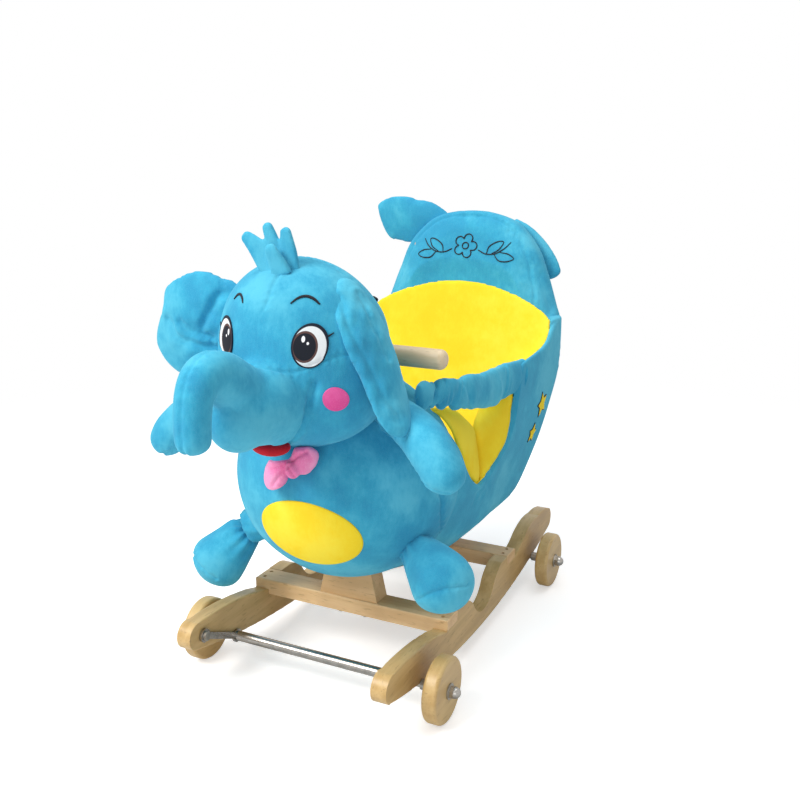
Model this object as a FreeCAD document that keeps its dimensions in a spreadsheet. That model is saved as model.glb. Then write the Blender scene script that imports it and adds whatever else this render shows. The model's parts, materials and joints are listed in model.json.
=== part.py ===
import FreeCAD, Part

import math
import os

import Sketcher
from FreeCAD import Placement, Rotation, Vector

# A plush elephant seat on a wooden rocking frame with fold-away wheels.
# Front of the toy is -Y, its left side is +X, up is +Z, the floor is z = 0.

doc = FreeCAD.newDocument("rocking_elephant")
sheet = doc.addObject("Spreadsheet::Sheet", "sizes")

# Driving dimensions in millimetres, grouped by the piece that they belong to.
driving = {
    "rocker": {"board": 18, "gauge": 264, "rocker_span": 545, "rocker_crest": 92,
               "rocker_low": 21, "seat_level": 66, "rocker_edge": 2},
    "crossbar": {"bar_depth": 30, "bar_height": 19, "bar_notch": 6, "notch_slack": 0.6,
                 "front_bar_reach": 116, "rear_bar_reach": 113, "bar_edge": 1.5,
                 "screw_radius": 2.3, "screw_sunk": 2.5, "screw_length": 34, "screw_pitch": 15},
    "block": {"block_foot": 78, "block_head": 62, "block_height": 36, "block_depth": 26,
              "block_setback": 3, "bolt_pitch": 34, "bolt_radius": 3, "bolt_head_radius": 6.5,
              "bolt_head_height": 3, "nut_flats": 10, "nut_height": 5, "washer_height": 1.2,
              "washer_radius": 7, "bolt_spare": 2},
    "wheel": {"wheel_radius": 37.5, "wheel_width": 17.6, "wheel_round": 4, "wheelbase": 375,
              "wheel_track": 331, "running_gap": 0.05},
    "axle": {"rod_radius": 4, "tube_radius": 6, "sleeve_gap": 0.8, "cap_nut_flats": 13,
             "cap_nut_height": 5, "cap_nut_dome": 6, "hub_washer_radius": 9, "hub_washer_height": 1.4,
             "rod_notch_gap": 0.6},
    "swing arm": {"pivot_reach": 248, "pivot_height": 67, "arm_thickness": 3, "arm_width": 8,
                  "arm_eye_radius": 8, "arm_gap": 0.5, "pivot_radius": 2.5, "pivot_grip": 13,
                  "pivot_head_radius": 5.5, "pivot_head_height": 3},
    "inner boards": {"ply": 12, "seat_board_width": 144, "seat_board_front": 100,
                     "seat_board_rear": 120, "seat_board_nose": 64, "seat_board_taper": 110,
                     "seat_board_tail": 52,
                     "post_width": 36, "post_rise": 30, "post_place": 105, "post_thick": 20,
                     "post_corner": 12, "back_board_width": 170, "back_board_top": 470,
                     "back_board_inset": 8, "back_board_foot": 25},
    "handle": {"handle_length": 244, "handle_radius": 11.3, "handle_rise": 37,
               "handle_end_round": 8},
    "seat": {"plush_base": 115, "tub_height": 257, "tub_width": 296, "tub_rear": 302,
             "tub_front": 100, "tub_corner": 62, "wall_inner": 224, "well_front": 78,
             "well_floor": 178, "cushion_height": 31, "lining": 7, "lean_foot": 166,
             "lean_foot_height": 209, "lean_rise": 303, "lean_run": 91, "rim_height": 345,
             "soft_gap": 0.3, "lining_top": 419, "lining_side_top": 378},
    "backrest": {"backrest_top": 518, "backrest_width": 240, "backrest_depth": 86,
                 "flap_half_width": 33, "flap_half_thick": 7},
    "strap": {"strap_half_height": 17, "strap_half_thick": 7},
    "body": {"body_half_width": 132, "body_half_depth": 122, "body_half_height": 124,
             "body_place": 108, "body_height": 240, "patch_radius": 58, "patch_thick": 1.6},
    "neck": {"neck_half_width": 52, "neck_half_depth": 34, "neck_place": 117, "neck_low": 330,
             "neck_top": 450, "zip_width": 7, "zip_thick": 1.6},
    "head": {"head_half_width": 93, "head_half_depth": 84, "head_place": 196, "head_low": 299,
             "head_height": 199},
    "trunk": {"trunk_reach": 385, "trunk_root_radius": 52, "trunk_top": 398},
    "ears": {"ear_half_width": 60, "ear_half_thick": 7},
    "arms": {"hand_radius": 25, "hand_spread": 176, "hand_place": 217, "hand_height": 302},
    "legs": {"foot_radius": 39, "foot_spread": 144, "foot_place": 166, "left_foot_height": 158,
             "right_foot_height": 133, "leg_radius": 23},
    "trim": {"tuft_height": 44, "tuft_half_width": 9, "bow_half_width": 19, "bow_half_height": 15,
             "bow_thick": 11, "bow_height": 284, "bow_place": 231},
}


class Size:
    """A length that knows both its number and the spreadsheet formula behind it."""

    def __init__(self, number, formula):
        self.number = float(number)
        self.formula = formula

    def __float__(self):
        return self.number

    def __add__(self, other):
        other = as_size(other)
        return Size(self.number + other.number, f"({self.formula} + {other.formula})")

    def __sub__(self, other):
        other = as_size(other)
        return Size(self.number - other.number, f"({self.formula} - {other.formula})")

    def __mul__(self, share):
        return Size(self.number * share, f"({self.formula} * {share})")

    def __truediv__(self, share):
        return Size(self.number / share, f"({self.formula} / {share})")

    def __neg__(self):
        return Size(-self.number, f"(0 - {self.formula})")


def as_size(value):
    """Zero and plain shares become sizes without a formula of their own."""
    return value if isinstance(value, Size) else Size(value, f"{value}")


class Sizes:
    """The sheet's values by name, such as S.board."""


S = Sizes()
row = 1
for group, values in driving.items():
    sheet.set(f"A{row}", group)
    row += 1
    for name, value in values.items():
        sheet.set(f"A{row}", name)
        sheet.set(f"B{row}", str(value))
        sheet.setAlias(f"B{row}", name)
        setattr(S, name, Size(value, f"sizes.{name}"))
        row += 1
doc.recompute()


# Helpers for sketched pieces

def new_body(name):
    body = doc.addObject("PartDesign::Body", name)
    body.Label = name
    return body


def new_sketch(body, plane, offset=None):
    """A sketch on one of the body's own planes, moved along the plane's normal."""
    sketch = body.newObject("Sketcher::SketchObject", body.Name + "_sketch")
    face = [item for item in body.Origin.OriginFeatures if item.Role == plane][0]
    sketch.AttachmentSupport = [(face, "")]
    sketch.MapMode = "FlatFace"
    if offset is not None:
        sketch.AttachmentOffset = Placement(Vector(0, 0, float(offset)), Rotation())
        sketch.setExpression("AttachmentOffset.Base.z", offset.formula)
    return sketch


def bind(sketch, kind, value, *where):
    """A dimension of the sketch that follows a formula."""
    index = sketch.addConstraint(Sketcher.Constraint(kind, *where, float(value)))
    label = f"d{index}"
    sketch.renameConstraint(index, label)
    sketch.setExpression(f"Constraints.{label}", value.formula)


def pin(sketch, item, end, across, up):
    """Holds one point of a curve at a place given from the sketch's origin."""
    for kind, value, axis in (("DistanceX", across, -2), ("DistanceY", up, -1)):
        if isinstance(value, Size):
            bind(sketch, kind, value, item, end)
        else:
            sketch.addConstraint(Sketcher.Constraint("PointOnObject", item, end, axis))


def at(place):
    return Vector(float(place[0]), float(place[1]), 0)


def trace(sketch, start, *steps):
    """A closed outline: a step of one place is a line, a step of two is an arc through the first."""
    here = start
    ends = []
    last = steps[-1][1] if isinstance(steps[-1][0], tuple) else steps[-1]
    if (at(last) - at(start)).Length > 0:
        steps += (start,)
    for step in steps:
        if len(step) == 2 and isinstance(step[0], tuple):
            middle, goal = step
            item = sketch.addGeometry(Part.Arc(at(here), at(middle), at(goal)), False)
            mark = sketch.addGeometry(Part.Point(at(middle)), True)
            sketch.addConstraint(Sketcher.Constraint("PointOnObject", mark, 1, item))
            pin(sketch, mark, 1, *middle)
        else:
            goal = step
            item = sketch.addGeometry(Part.LineSegment(at(here), at(goal)), False)
        first = 1 if (sketch.getPoint(item, 1) - at(here)).Length < (
            sketch.getPoint(item, 2) - at(here)).Length else 2
        ends.append((item, first, 3 - first, here))
        here = goal
    for index, (item, first, last, place) in enumerate(ends):
        before = ends[index - 1]
        sketch.addConstraint(Sketcher.Constraint("Coincident", before[0], before[2], item, first))
        pin(sketch, item, first, *place)


def ring(sketch, across, up, radius):
    item = sketch.addGeometry(Part.Circle(at((across, up)), Vector(0, 0, 1), float(radius)), False)
    bind(sketch, "Radius", radius, item)
    pin(sketch, item, 3, across, up)


def pad(body, sketch, length, backwards=False):
    feature = body.newObject("PartDesign::Pad", body.Name + "_pad")
    feature.Profile = sketch
    feature.Length = float(length)
    feature.setExpression("Length", length.formula)
    feature.Reversed = backwards
    doc.recompute()
    return feature


def pocket(body, sketch, length=None, backwards=False):
    """A cut of a given depth, or right through the piece when no depth is given."""
    before = body.Shape.Volume
    feature = body.newObject("PartDesign::Pocket", body.Name + "_pocket")
    feature.Profile = sketch
    if length is None:
        feature.Type = "ThroughAll"
    else:
        feature.Length = float(length)
        feature.setExpression("Length", length.formula)
    feature.Reversed = backwards
    doc.recompute()
    if not body.Shape.Volume < before:
        raise ValueError(body.Name + ": a pocket removed nothing")
    return feature


def revolve(body, sketch):
    """Turns a profile drawn above the sketch's horizontal axis into a round piece."""
    feature = body.newObject("PartDesign::Revolution", body.Name + "_turned")
    feature.Profile = sketch
    feature.ReferenceAxis = (sketch, ["H_Axis"])
    feature.Angle = 360
    doc.recompute()
    return feature


def soften(body, base, radius, wanted):
    """Rounds the edges that a test picks out."""
    names = [f"Edge{i + 1}" for i, edge in enumerate(base.Shape.Edges) if wanted(edge)]
    feature = body.newObject("PartDesign::Fillet", body.Name + "_round")
    feature.Base = (base, names)
    feature.Radius = float(radius)
    feature.setExpression("Radius", radius.formula)
    doc.recompute()
    return feature


def move(item, x=None, y=None, z=None):
    """Places a piece by formulas."""
    for axis, value in (("x", x), ("y", y), ("z", z)):
        if value is not None:
            item.setExpression(f"Placement.Base.{axis}", as_size(value).formula)
    doc.recompute()


pieces = {}


def keep(name, item):
    pieces[name] = item
    return item


def keep_shape(name, shape):
    """A piece whose shape is worked out from the sheet's values."""
    item = doc.addObject("Part::Feature", name)
    item.Label = name
    item.Shape = shape
    item.Placement = Placement()
    return keep(name, item)


def keep_group(name, shape, places):
    """Identical fasteners in one node, each a separate solid."""
    copies = []
    for place in places:
        copy = shape.copy()
        copy.Placement = place.multiply(copy.Placement)
        copies.append(copy)
    return keep_shape(name, Part.makeCompound(copies))


# Wooden frame

half_span = S.rocker_span / 2
inner_gauge = S.gauge / 2 - S.board
bar_top = S.seat_level - S.bar_notch + S.bar_height

# Outline of a rocker from the front tip along the top to the rear tip: shares of the
# half span and of the crest height. A pair of places is an arc through the first.
front_top_shares = [((-0.998, 0.72), (-0.93, 0.925)), ((-0.71, 0.895), (-0.52, 0.80))]
dip_shares = [((-0.175, 0.80), (-0.115, 0.62)), ((0.0, 0.445), (0.115, 0.62)),
              ((0.175, 0.80), (0.23, 0.855))]
rear_top_shares = [((0.62, 0.955), (0.78, 0.985)), ((0.87, 0.985), (0.95, 0.93)),
                   ((1.0, 0.76), (0.962, 0.585))]
crest_share = 0.7
tip_share = 0.1
front_tip_shares = (-0.962, 0.585)


def rocker_place(shares):
    return (half_span * shares[0], S.rocker_crest * shares[1])


def rocker_steps(table):
    return [(rocker_place(middle), rocker_place(goal)) for middle, goal in table]


def make_rocker(name, side):
    body = new_body(name)
    sketch = new_sketch(body, "YZ_Plane")
    front = -S.front_bar_reach - S.notch_slack
    front_back = front + S.bar_depth + S.notch_slack * 2
    rear = S.rear_bar_reach + S.notch_slack
    rear_front = rear - S.bar_depth - S.notch_slack * 2
    hump = S.rocker_crest * 0.855
    trace(sketch, rocker_place(front_tip_shares),
          *rocker_steps(front_top_shares),
          (front, S.seat_level),
          (front_back, S.seat_level),
          (front_back, hump),
          (half_span * -0.23, hump),
          *rocker_steps(dip_shares),
          (rear_front, hump),
          (rear_front, S.seat_level),
          (rear, S.seat_level),
          rocker_place((0.52, 0.83)),
          *rocker_steps(rear_top_shares),
          ((0, S.rocker_low), rocker_place(front_tip_shares)))
    board = pad(body, sketch, S.board, backwards=side < 0)
    soften(body, board, S.rocker_edge, tip_edge)
    notches = new_sketch(body, "YZ_Plane")
    for end in (-1, 1):
        ring(notches, S.wheelbase * (end / 2), S.wheel_radius, S.rod_radius + S.rod_notch_gap)
    pocket(body, notches, backwards=side > 0)
    pilots = new_sketch(body, "YZ_Plane")
    for end in (-1, 1):
        ring(pilots, S.pivot_reach * end, S.pivot_height, S.pivot_radius)
    pocket(body, pilots, S.pivot_grip, backwards=side > 0)
    screws = new_sketch(body, "XY_Plane", S.seat_level)
    for y in screw_places():
        ring(screws, S.board * (side / 2), y, S.screw_radius)
    pocket(body, screws, S.screw_length - S.bar_height + S.screw_sunk + S.bar_notch)
    move(body, x=inner_gauge * side)
    return keep(name, body)


def tip_edge(edge):
    """The long edges round a rocker's tips, top crests and running edge."""
    low, high = edge.BoundBox.YMin, edge.BoundBox.YMax
    flat = edge.BoundBox.XLength < S.board.number / 10
    curved = edge.Curve.TypeId == "Part::GeomCircle"
    far_out = abs(low + high) / 2 > half_span.number * crest_share
    crest = far_out and high - low > half_span.number * tip_share
    return flat and curved and (crest or high - low > half_span.number)


def screw_places():
    """Two screws at each end of each bar, in line along the rocker."""
    front = -S.front_bar_reach + S.bar_depth / 2
    rear = S.rear_bar_reach - S.bar_depth / 2
    return [bar + S.screw_pitch * (end / 2) for bar in (front, rear) for end in (-1, 1)]


def make_crossbar(name, reach, front):
    body = new_body(name)
    sketch = new_sketch(body, "XZ_Plane")
    half = S.gauge / 2
    low = S.seat_level - S.bar_notch
    step = inner_gauge - S.notch_slack
    trace(sketch, (-half, S.seat_level), (-step, S.seat_level), (-step, low), (step, low),
          (step, S.seat_level), (half, S.seat_level), (half, bar_top), (-half, bar_top))
    bar = pad(body, sketch, S.bar_depth, backwards=True)
    soften(body, bar, S.bar_edge, top_edge)
    holes = new_sketch(body, "XY_Plane", bar_top)
    for end in (-1, 1):
        ring(holes, S.bolt_pitch * (end / 2), S.bar_depth / 2, S.bolt_radius)
        for pitch in (-1, 1):
            ring(holes, (S.gauge / 2 - S.board / 2) * end,
                 S.bar_depth / 2 + S.screw_pitch * (pitch / 2), S.screw_radius)
    pocket(body, holes)
    move(body, y=-reach if front else reach - S.bar_depth)
    return keep(name, body)


def top_edge(edge):
    level = bar_top.number
    return abs(edge.BoundBox.ZMin - level) + abs(edge.BoundBox.ZMax - level) < S.bar_edge.number / 10


def block_centre(front):
    if front:
        return -S.front_bar_reach + S.block_setback + S.block_depth / 2
    return S.rear_bar_reach - S.block_setback - S.block_depth / 2


def make_block(name, front):
    body = new_body(name)
    sketch = new_sketch(body, "XZ_Plane")
    top = bar_top + S.block_height
    trace(sketch, (-S.block_foot / 2, bar_top), (S.block_foot / 2, bar_top),
          (S.block_head / 2, top), (-S.block_head / 2, top))
    pad(body, sketch, S.block_depth, backwards=True)
    holes = new_sketch(body, "XY_Plane", top)
    for end in (-1, 1):
        across = S.bolt_pitch * (end / 2)
        bar_line = bar_centre(front) - block_centre(front) + S.block_depth / 2
        ring(holes, across, bar_line, S.bolt_radius)
    pocket(body, holes)
    move(body, y=block_centre(front) - S.block_depth / 2)
    return keep(name, body)


def bar_centre(front):
    if front:
        return -S.front_bar_reach + S.bar_depth / 2
    return S.rear_bar_reach - S.bar_depth / 2


for name, side in (("rocker_left", 1), ("rocker_right", -1)):
    make_rocker(name, side)
make_crossbar("front_crossbar", S.front_bar_reach, True)
make_crossbar("rear_crossbar", S.rear_bar_reach, False)
make_block("front_support_block", True)
make_block("rear_support_block", False)

base_level = bar_top + S.block_height
handle_height = S.rim_height + S.handle_rise


def make_seat_board():
    body = new_body("seat_board")
    sketch = new_sketch(body, "XY_Plane", base_level)
    half, nose = S.seat_board_width / 2, S.seat_board_nose / 2
    front, rear = -S.seat_board_front, S.seat_board_rear
    trace(sketch, (-nose, front), (nose, front), (half, front + S.seat_board_taper),
          (half, rear - S.seat_board_tail), (nose, rear), (-nose, rear),
          (-half, rear - S.seat_board_tail), (-half, front + S.seat_board_taper))
    pad(body, sketch, S.ply)
    holes = new_sketch(body, "XY_Plane", base_level + S.ply)
    for front_end in (True, False):
        for end in (-1, 1):
            ring(holes, S.bolt_pitch * (end / 2), bar_centre(front_end), S.bolt_radius)
    pocket(body, holes)
    return keep("seat_board", body)


def make_neck_post():
    """A post in the toy's neck with a cross hole for the handle, drawn as its side view."""
    body = new_body("neck_post")
    sketch = new_sketch(body, "YZ_Plane", -S.post_thick / 2)
    half, corner = S.post_width / 2, S.post_corner
    low, top = base_level + S.ply, handle_height + S.post_rise
    near, far_side = -S.post_place - half, half - S.post_place
    bow = corner * (1 - math.sqrt(0.5))
    trace(sketch, (near, low), (far_side, low), (far_side, top - corner),
          ((far_side - bow, top - bow), (far_side - corner, top)),
          (near + corner, top),
          ((near + bow, top - bow), (near, top - corner)))
    pad(body, sketch, S.post_thick)
    hole = new_sketch(body, "YZ_Plane", S.post_thick / 2)
    ring(hole, -S.post_place, handle_height, S.handle_radius)
    pocket(body, hole)
    return keep("neck_post", body)


def make_handle():
    body = new_body("handle_bar")
    sketch = new_sketch(body, "XY_Plane")
    half, radius, tip = S.handle_length / 2, S.handle_radius, S.handle_end_round
    bow = tip * (1 - math.sqrt(0.5))
    trace(sketch, (-half, 0), (half, 0), (half, radius - tip),
          ((half - bow, radius - bow), (half - tip, radius)),
          (tip - half, radius),
          ((bow - half, radius - bow), (-half, radius - tip)))
    revolve(body, sketch)
    move(body, y=-S.post_place, z=handle_height)
    return keep("handle_bar", body)


def make_back_board():
    """A ply board that leans with the backrest, drawn as its side view."""
    body = new_body("back_board")
    sketch = new_sketch(body, "YZ_Plane", -S.back_board_width / 2)
    low, top = base_level + S.ply + S.back_board_foot, S.back_board_top
    near, far = S.back_board_inset, S.back_board_inset + S.ply
    trace(sketch, (lean(low) + near, low), (lean(low) + far, low),
          (lean(top) + far, top), (lean(top) + near, top))
    pad(body, sketch, S.back_board_width)
    return keep("back_board", body)


def lean(height):
    """How far back the seat's inner back face is at a height."""
    slope = S.lean_run.number / S.lean_rise.number
    rise = height - S.lean_foot_height
    place = S.lean_foot.number + rise.number * slope
    run = "sizes.lean_run / sizes.lean_rise"
    return Size(place, f"(sizes.lean_foot + {rise.formula} * {run})")


make_seat_board()
make_neck_post()
make_back_board()
make_handle()


# Fold-away wheels

wheel_outer = S.wheel_track / 2
wheel_inner = wheel_outer - S.wheel_width
hub_gap = S.soft_gap


def turned(name, bore, low, high, radius, rounding=None):
    """A round piece on the X axis with a bore, from low to high."""
    body = new_body(name)
    sketch = new_sketch(body, "XY_Plane")
    if rounding is None:
        trace(sketch, (low, bore), (high, bore), (high, radius), (low, radius))
    else:
        bow = rounding * (1 - math.sqrt(0.5))
        trace(sketch, (low, bore), (high, bore), (high, radius - rounding),
              ((high - bow, radius - bow), (high - rounding, radius)),
              (low + rounding, radius),
              ((low + bow, radius - bow), (low, radius - rounding)))
    revolve(body, sketch)
    return body


def hex_prism(flats, height):
    """A hexagon across its flats, standing on z = 0."""
    reach = float(flats) / math.sqrt(3)
    corners = [Vector(reach * math.cos(math.radians(60 * i)), reach * math.sin(math.radians(60 * i)), 0)
               for i in range(7)]
    return Part.Face(Part.makePolygon(corners)).extrude(Vector(0, 0, float(height)))


def cylinder(radius, low, high):
    return Part.makeCylinder(float(radius), float(high) - float(low), Vector(0, 0, float(low)))


def cap_nut():
    """A dome nut standing on z = 0, bored for the end of the rod."""
    hexagon = hex_prism(S.cap_nut_flats, S.cap_nut_height)
    radius = S.cap_nut_flats.number / 2
    dome = Part.makeSphere(radius, Vector(0, 0, S.cap_nut_height.number))
    dome = dome.common(cylinder(S.cap_nut_flats, S.cap_nut_height, S.cap_nut_height + S.cap_nut_dome))
    return hexagon.fuse(dome).removeSplitter().cut(cylinder(S.rod_radius, 0, S.cap_nut_height))


def along_x(side, distance, y, z):
    """A turn that stands a piece's z axis outwards along X."""
    return Placement(Vector(side * float(distance), float(y), float(z)), Rotation(Vector(0, 1, 0), 90 * side))


def swing_arm(end):
    """A flat bar with an eye round the pivot screw and an eye round the axle."""
    pivot = Vector(0, float(S.pivot_reach) * end, float(S.pivot_height))
    hub = Vector(0, float(S.wheelbase) / 2 * end, float(S.wheel_radius))
    reach = (hub - pivot).Length
    thick = float(S.arm_thickness)
    bar = Part.makeBox(reach, float(S.arm_width), thick, Vector(0, -float(S.arm_width) / 2, 0))
    for place in (0, reach):
        bar = bar.fuse(Part.makeCylinder(float(S.arm_eye_radius), thick, Vector(place, 0, 0)))
    bar = bar.removeSplitter()
    pivot_hole = float(S.pivot_radius + S.running_gap)
    bar = bar.cut(Part.makeCylinder(pivot_hole, thick, Vector(0, 0, 0)))
    bar = bar.cut(Part.makeCylinder(float(S.rod_radius), thick, Vector(reach, 0, 0)))
    along = (hub - pivot).normalize()
    turn = Rotation(along, Vector(0, 0, 0), Vector(1, 0, 0), "XZY")
    bar.Placement = Placement(pivot, turn)
    return bar


arm_outer = inner_gauge - S.arm_gap
arm_inner = arm_outer - S.arm_thickness
washer_outer = wheel_outer + hub_gap + S.hub_washer_height

for end_name, end in (("front", -1), ("rear", 1)):
    y, z = S.wheelbase * (end / 2), S.wheel_radius
    rod = turned(f"{end_name}_axle_rod", 0, -washer_outer - S.cap_nut_height,
                 washer_outer + S.cap_nut_height, S.rod_radius)
    tube = turned(f"{end_name}_axle_tube", S.rod_radius, -arm_inner, arm_inner, S.tube_radius)
    for body in (rod, tube):
        move(body, y=y, z=z)
        keep(body.Name, body)
    arms = [swing_arm(end), swing_arm(end)]
    arms[0].translate(Vector(float(arm_inner), 0, 0))
    arms[1].translate(Vector(-float(arm_outer), 0, 0))
    keep_shape(f"{end_name}_swing_arms", Part.makeCompound(arms))
    spacer = cylinder(S.tube_radius, 0, wheel_inner - hub_gap - S.gauge / 2 - S.sleeve_gap)
    spacer = spacer.cut(cylinder(S.rod_radius, 0, wheel_inner - S.gauge / 2))
    washer = cylinder(S.hub_washer_radius, 0, S.hub_washer_height)
    washer = washer.cut(cylinder(S.rod_radius, 0, S.hub_washer_height))
    for name, shape, start in (("axle_spacers", spacer, S.gauge / 2 + S.sleeve_gap),
                               ("hub_washers", washer, wheel_outer + hub_gap),
                               ("cap_nuts", cap_nut(), washer_outer)):
        keep_group(f"{end_name}_{name}", shape, [along_x(side, start, y, z) for side in (-1, 1)])
    for side_name, side in (("left", 1), ("right", -1)):
        wheel = turned(f"{end_name}_{side_name}_wheel", S.rod_radius + S.running_gap,
                       wheel_inner * side if side > 0 else -wheel_outer,
                       wheel_outer if side > 0 else -wheel_inner,
                       S.wheel_radius, S.wheel_round)
        move(wheel, y=y, z=z)
        keep(wheel.Name, wheel)


# Fasteners of the wooden frame

def screw_ends():
    half = float(S.gauge / 2 - S.board / 2)
    return [(side * half, float(y)) for side in (-1, 1) for y in screw_places()]


screw_top = bar_top - S.screw_sunk
screw = cylinder(S.screw_radius, screw_top - S.screw_length, screw_top)
keep_group("crossbar_screws", screw, [Placement(Vector(x, y, 0), Rotation()) for x, y in screw_ends()])

bar_low = S.seat_level - S.bar_notch
bolt_low = bar_low - S.washer_height - S.nut_height - S.bolt_spare
board_top = base_level + S.ply
bolt = cylinder(S.bolt_radius, bolt_low, board_top)
bolt = bolt.fuse(cylinder(S.bolt_head_radius, board_top, board_top + S.bolt_head_height)).removeSplitter()
block_washer = cylinder(S.washer_radius, bar_low - S.washer_height, bar_low)
block_washer = block_washer.cut(cylinder(S.bolt_radius, bar_low - S.washer_height, bar_low))
nut_low = bar_low - S.washer_height - S.nut_height
block_nut = hex_prism(S.nut_flats, S.nut_height).cut(cylinder(S.bolt_radius, 0, S.nut_height))
block_nut.translate(Vector(0, 0, float(nut_low)))
bolt_places = [Placement(Vector(float(S.bolt_pitch) / 2 * side, float(bar_centre(front_end)), 0), Rotation())
               for front_end in (True, False) for side in (-1, 1)]
keep_group("block_bolts", bolt, bolt_places)
keep_group("block_washers", block_washer, bolt_places)
keep_group("block_nuts", block_nut, bolt_places)

pivot_head_low = S.arm_gap + S.arm_thickness + hub_gap
pivot_screw = cylinder(S.pivot_radius, -S.pivot_grip, pivot_head_low)
pivot_screw = pivot_screw.fuse(cylinder(S.pivot_head_radius, pivot_head_low,
                                        pivot_head_low + S.pivot_head_height)).removeSplitter()
keep_group("pivot_screws", pivot_screw,
           [Placement(Vector(side * float(inner_gauge), float(S.pivot_reach) * end, float(S.pivot_height)),
                      Rotation(Vector(0, 1, 0), -90 * side))
            for side in (-1, 1) for end in (-1, 1)])


# Stuffed pieces: lofts through closed sections of arcs and lines

def oval(centre, across, up):
    """Four arcs round a centre, through the ends of two half axes."""
    def spot(turn):
        angle = math.radians(turn)
        return centre + across * math.cos(angle) + up * math.sin(angle)

    return Part.Wire([Part.Arc(spot(turn), spot(turn + 45), spot(turn + 90)).toShape()
                      for turn in (0, 90, 180, 270)])


def limb(places, half_widths, half_thicks, width_way=None):
    """A rounded limb through places, square to its path; flattened across width_way."""
    wires = []
    for index, place in enumerate(places):
        before = places[max(index - 1, 0)]
        after = places[min(index + 1, len(places) - 1)]
        ahead = (after - before).normalize()
        guide = width_way if width_way is not None else Vector(0, 0, 1)
        across = (guide - ahead * guide.dot(ahead)).normalize()
        up = ahead.cross(across)
        wires.append(oval(place, across * half_widths[index], up * half_thicks[index]))
    return Part.makeLoft(wires, True, False)


def panel(low, high, start, *steps):
    """A flat piece cut to a side view, from low to high along X; steps are as in trace."""
    here = Vector(float(low), float(start[0]), float(start[1]))
    first = here
    edges = []
    for step in steps + (start,):
        if isinstance(step[0], tuple):
            middle = Vector(float(low), float(step[0][0]), float(step[0][1]))
            goal = Vector(float(low), float(step[1][0]), float(step[1][1]))
            edges.append(Part.Arc(here, middle, goal).toShape())
        else:
            goal = first if step is start else Vector(float(low), float(step[0]), float(step[1]))
            edges.append(Part.LineSegment(here, goal).toShape())
        here = goal
    face = Part.Face(Part.Wire(edges))
    return face.extrude(Vector(float(high) - float(low), 0, 0))


def mirrored(shape):
    return shape.mirror(Vector(0, 0, 0), Vector(1, 0, 0))


def without(shape, *others):
    for other in others:
        shape = shape.cut(other)
    return shape.removeSplitter()


far = float(S.rocker_span)
inner = float(S.wall_inner) / 2
base = float(S.plush_base)
front_y = -float(S.tub_front)
tub_length = float(S.tub_rear) - front_y
tub_top = base + float(S.tub_height)

# Height, half width, rear and front half width of the seat's outer skin, as shares.
tub_shares = [(0, 0.52, 0.542, 0.3), (0.058, 0.6, 0.58, 0.47), (0.132, 0.73, 0.714, 0.68),
              (0.292, 0.845, 0.833, 0.917), (0.517, 0.96, 0.923, 1.0), (0.72, 1.0, 0.992, 0.88),
              (0.895, 1.0, 1.0, 0.72), (1.0, 0.96, 0.993, 0.6)]
side_start_share = 0.55
side_bow_share = 0.8


def tub_section(height_share, width_share, rear_share, front_share):
    z = base + height_share * float(S.tub_height)
    half = width_share * float(S.tub_width) / 2
    rear = front_y + rear_share * tub_length
    nose = front_share * float(S.body_half_width)
    corner = float(S.tub_corner)
    bow = corner * (1 - math.sqrt(0.5))
    side = front_y + side_start_share * (rear - front_y)
    middle = nose + side_bow_share * (half - nose)

    def spot(x, y):
        return Vector(x, y, z)

    def half_line(sign):
        return [Part.Arc(spot(sign * nose, front_y), spot(sign * middle, (front_y + side) / 2),
                         spot(sign * half, side)),
                Part.LineSegment(spot(sign * half, side), spot(sign * half, rear - corner)),
                Part.Arc(spot(sign * half, rear - corner), spot(sign * (half - bow), rear - bow),
                         spot(sign * (half - corner), rear))]

    edges = half_line(1)
    edges.append(Part.LineSegment(spot(half - corner, rear), spot(corner - half, rear)))
    edges += half_line(-1)
    edges.append(Part.LineSegment(spot(nose, front_y), spot(-nose, front_y)))
    return Part.Wire(Part.sortEdges([edge.toShape() for edge in edges])[0])


def lean_at(z):
    slope = float(S.lean_run) / float(S.lean_rise)
    return float(S.lean_foot) + (z - float(S.lean_foot_height)) * slope


def behind_back(offset=0.0):
    """Everything behind the seat's inner back face."""
    return panel(-far, far, (lean_at(0) + offset, 0), (far, 0), (far, far + far),
                 (lean_at(far + far) + offset, far + far))


tub = Part.makeLoft([tub_section(*shares) for shares in tub_shares], True, False)

# The side's upper edge from the front: the leg hole's edge, then the rim. Shares of the
# seat's length and of the rim's height above the plush base.
leg_hole_shares = [(0, 0.8), ((0.09, 0.545), (0.224, 0.422)), ((0.365, 0.47), (0.45, 0.68)),
                   (0.487, 0.84), (0.4975, 1.0), ((0.62, 1.02), (0.72, 1.06)), (0.95, 1.17)]
rim = float(S.rim_height) - base


def side_place(shares):
    return (front_y + shares[0] * tub_length, base + shares[1] * rim)


def side_outline():
    steps = []
    for step in leg_hole_shares:
        if isinstance(step[0], tuple):
            steps.append((side_place(step[0]), side_place(step[1])))
        else:
            steps.append(side_place(step))
    return steps


side_steps = side_outline() + [(side_place((0.95, 1.17))[0], 0)]
side_profile = panel(inner, far, (front_y, 0), *side_steps)
rump_zone = behind_back()
side_left = without(tub.common(side_profile), rump_zone)
side_right = mirrored(side_left)
boards = [pieces[name].Shape for name in ("seat_board", "neck_post", "back_board", "block_bolts")]
rump = without(tub.common(rump_zone), *boards)

well_front = -float(S.well_front)
well_floor = float(S.well_floor)
well_box = Part.makeBox(inner * 2, far, well_floor, Vector(-inner, well_front, 0))
seat_base = without(tub.common(well_box), rump_zone, *boards)

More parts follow.
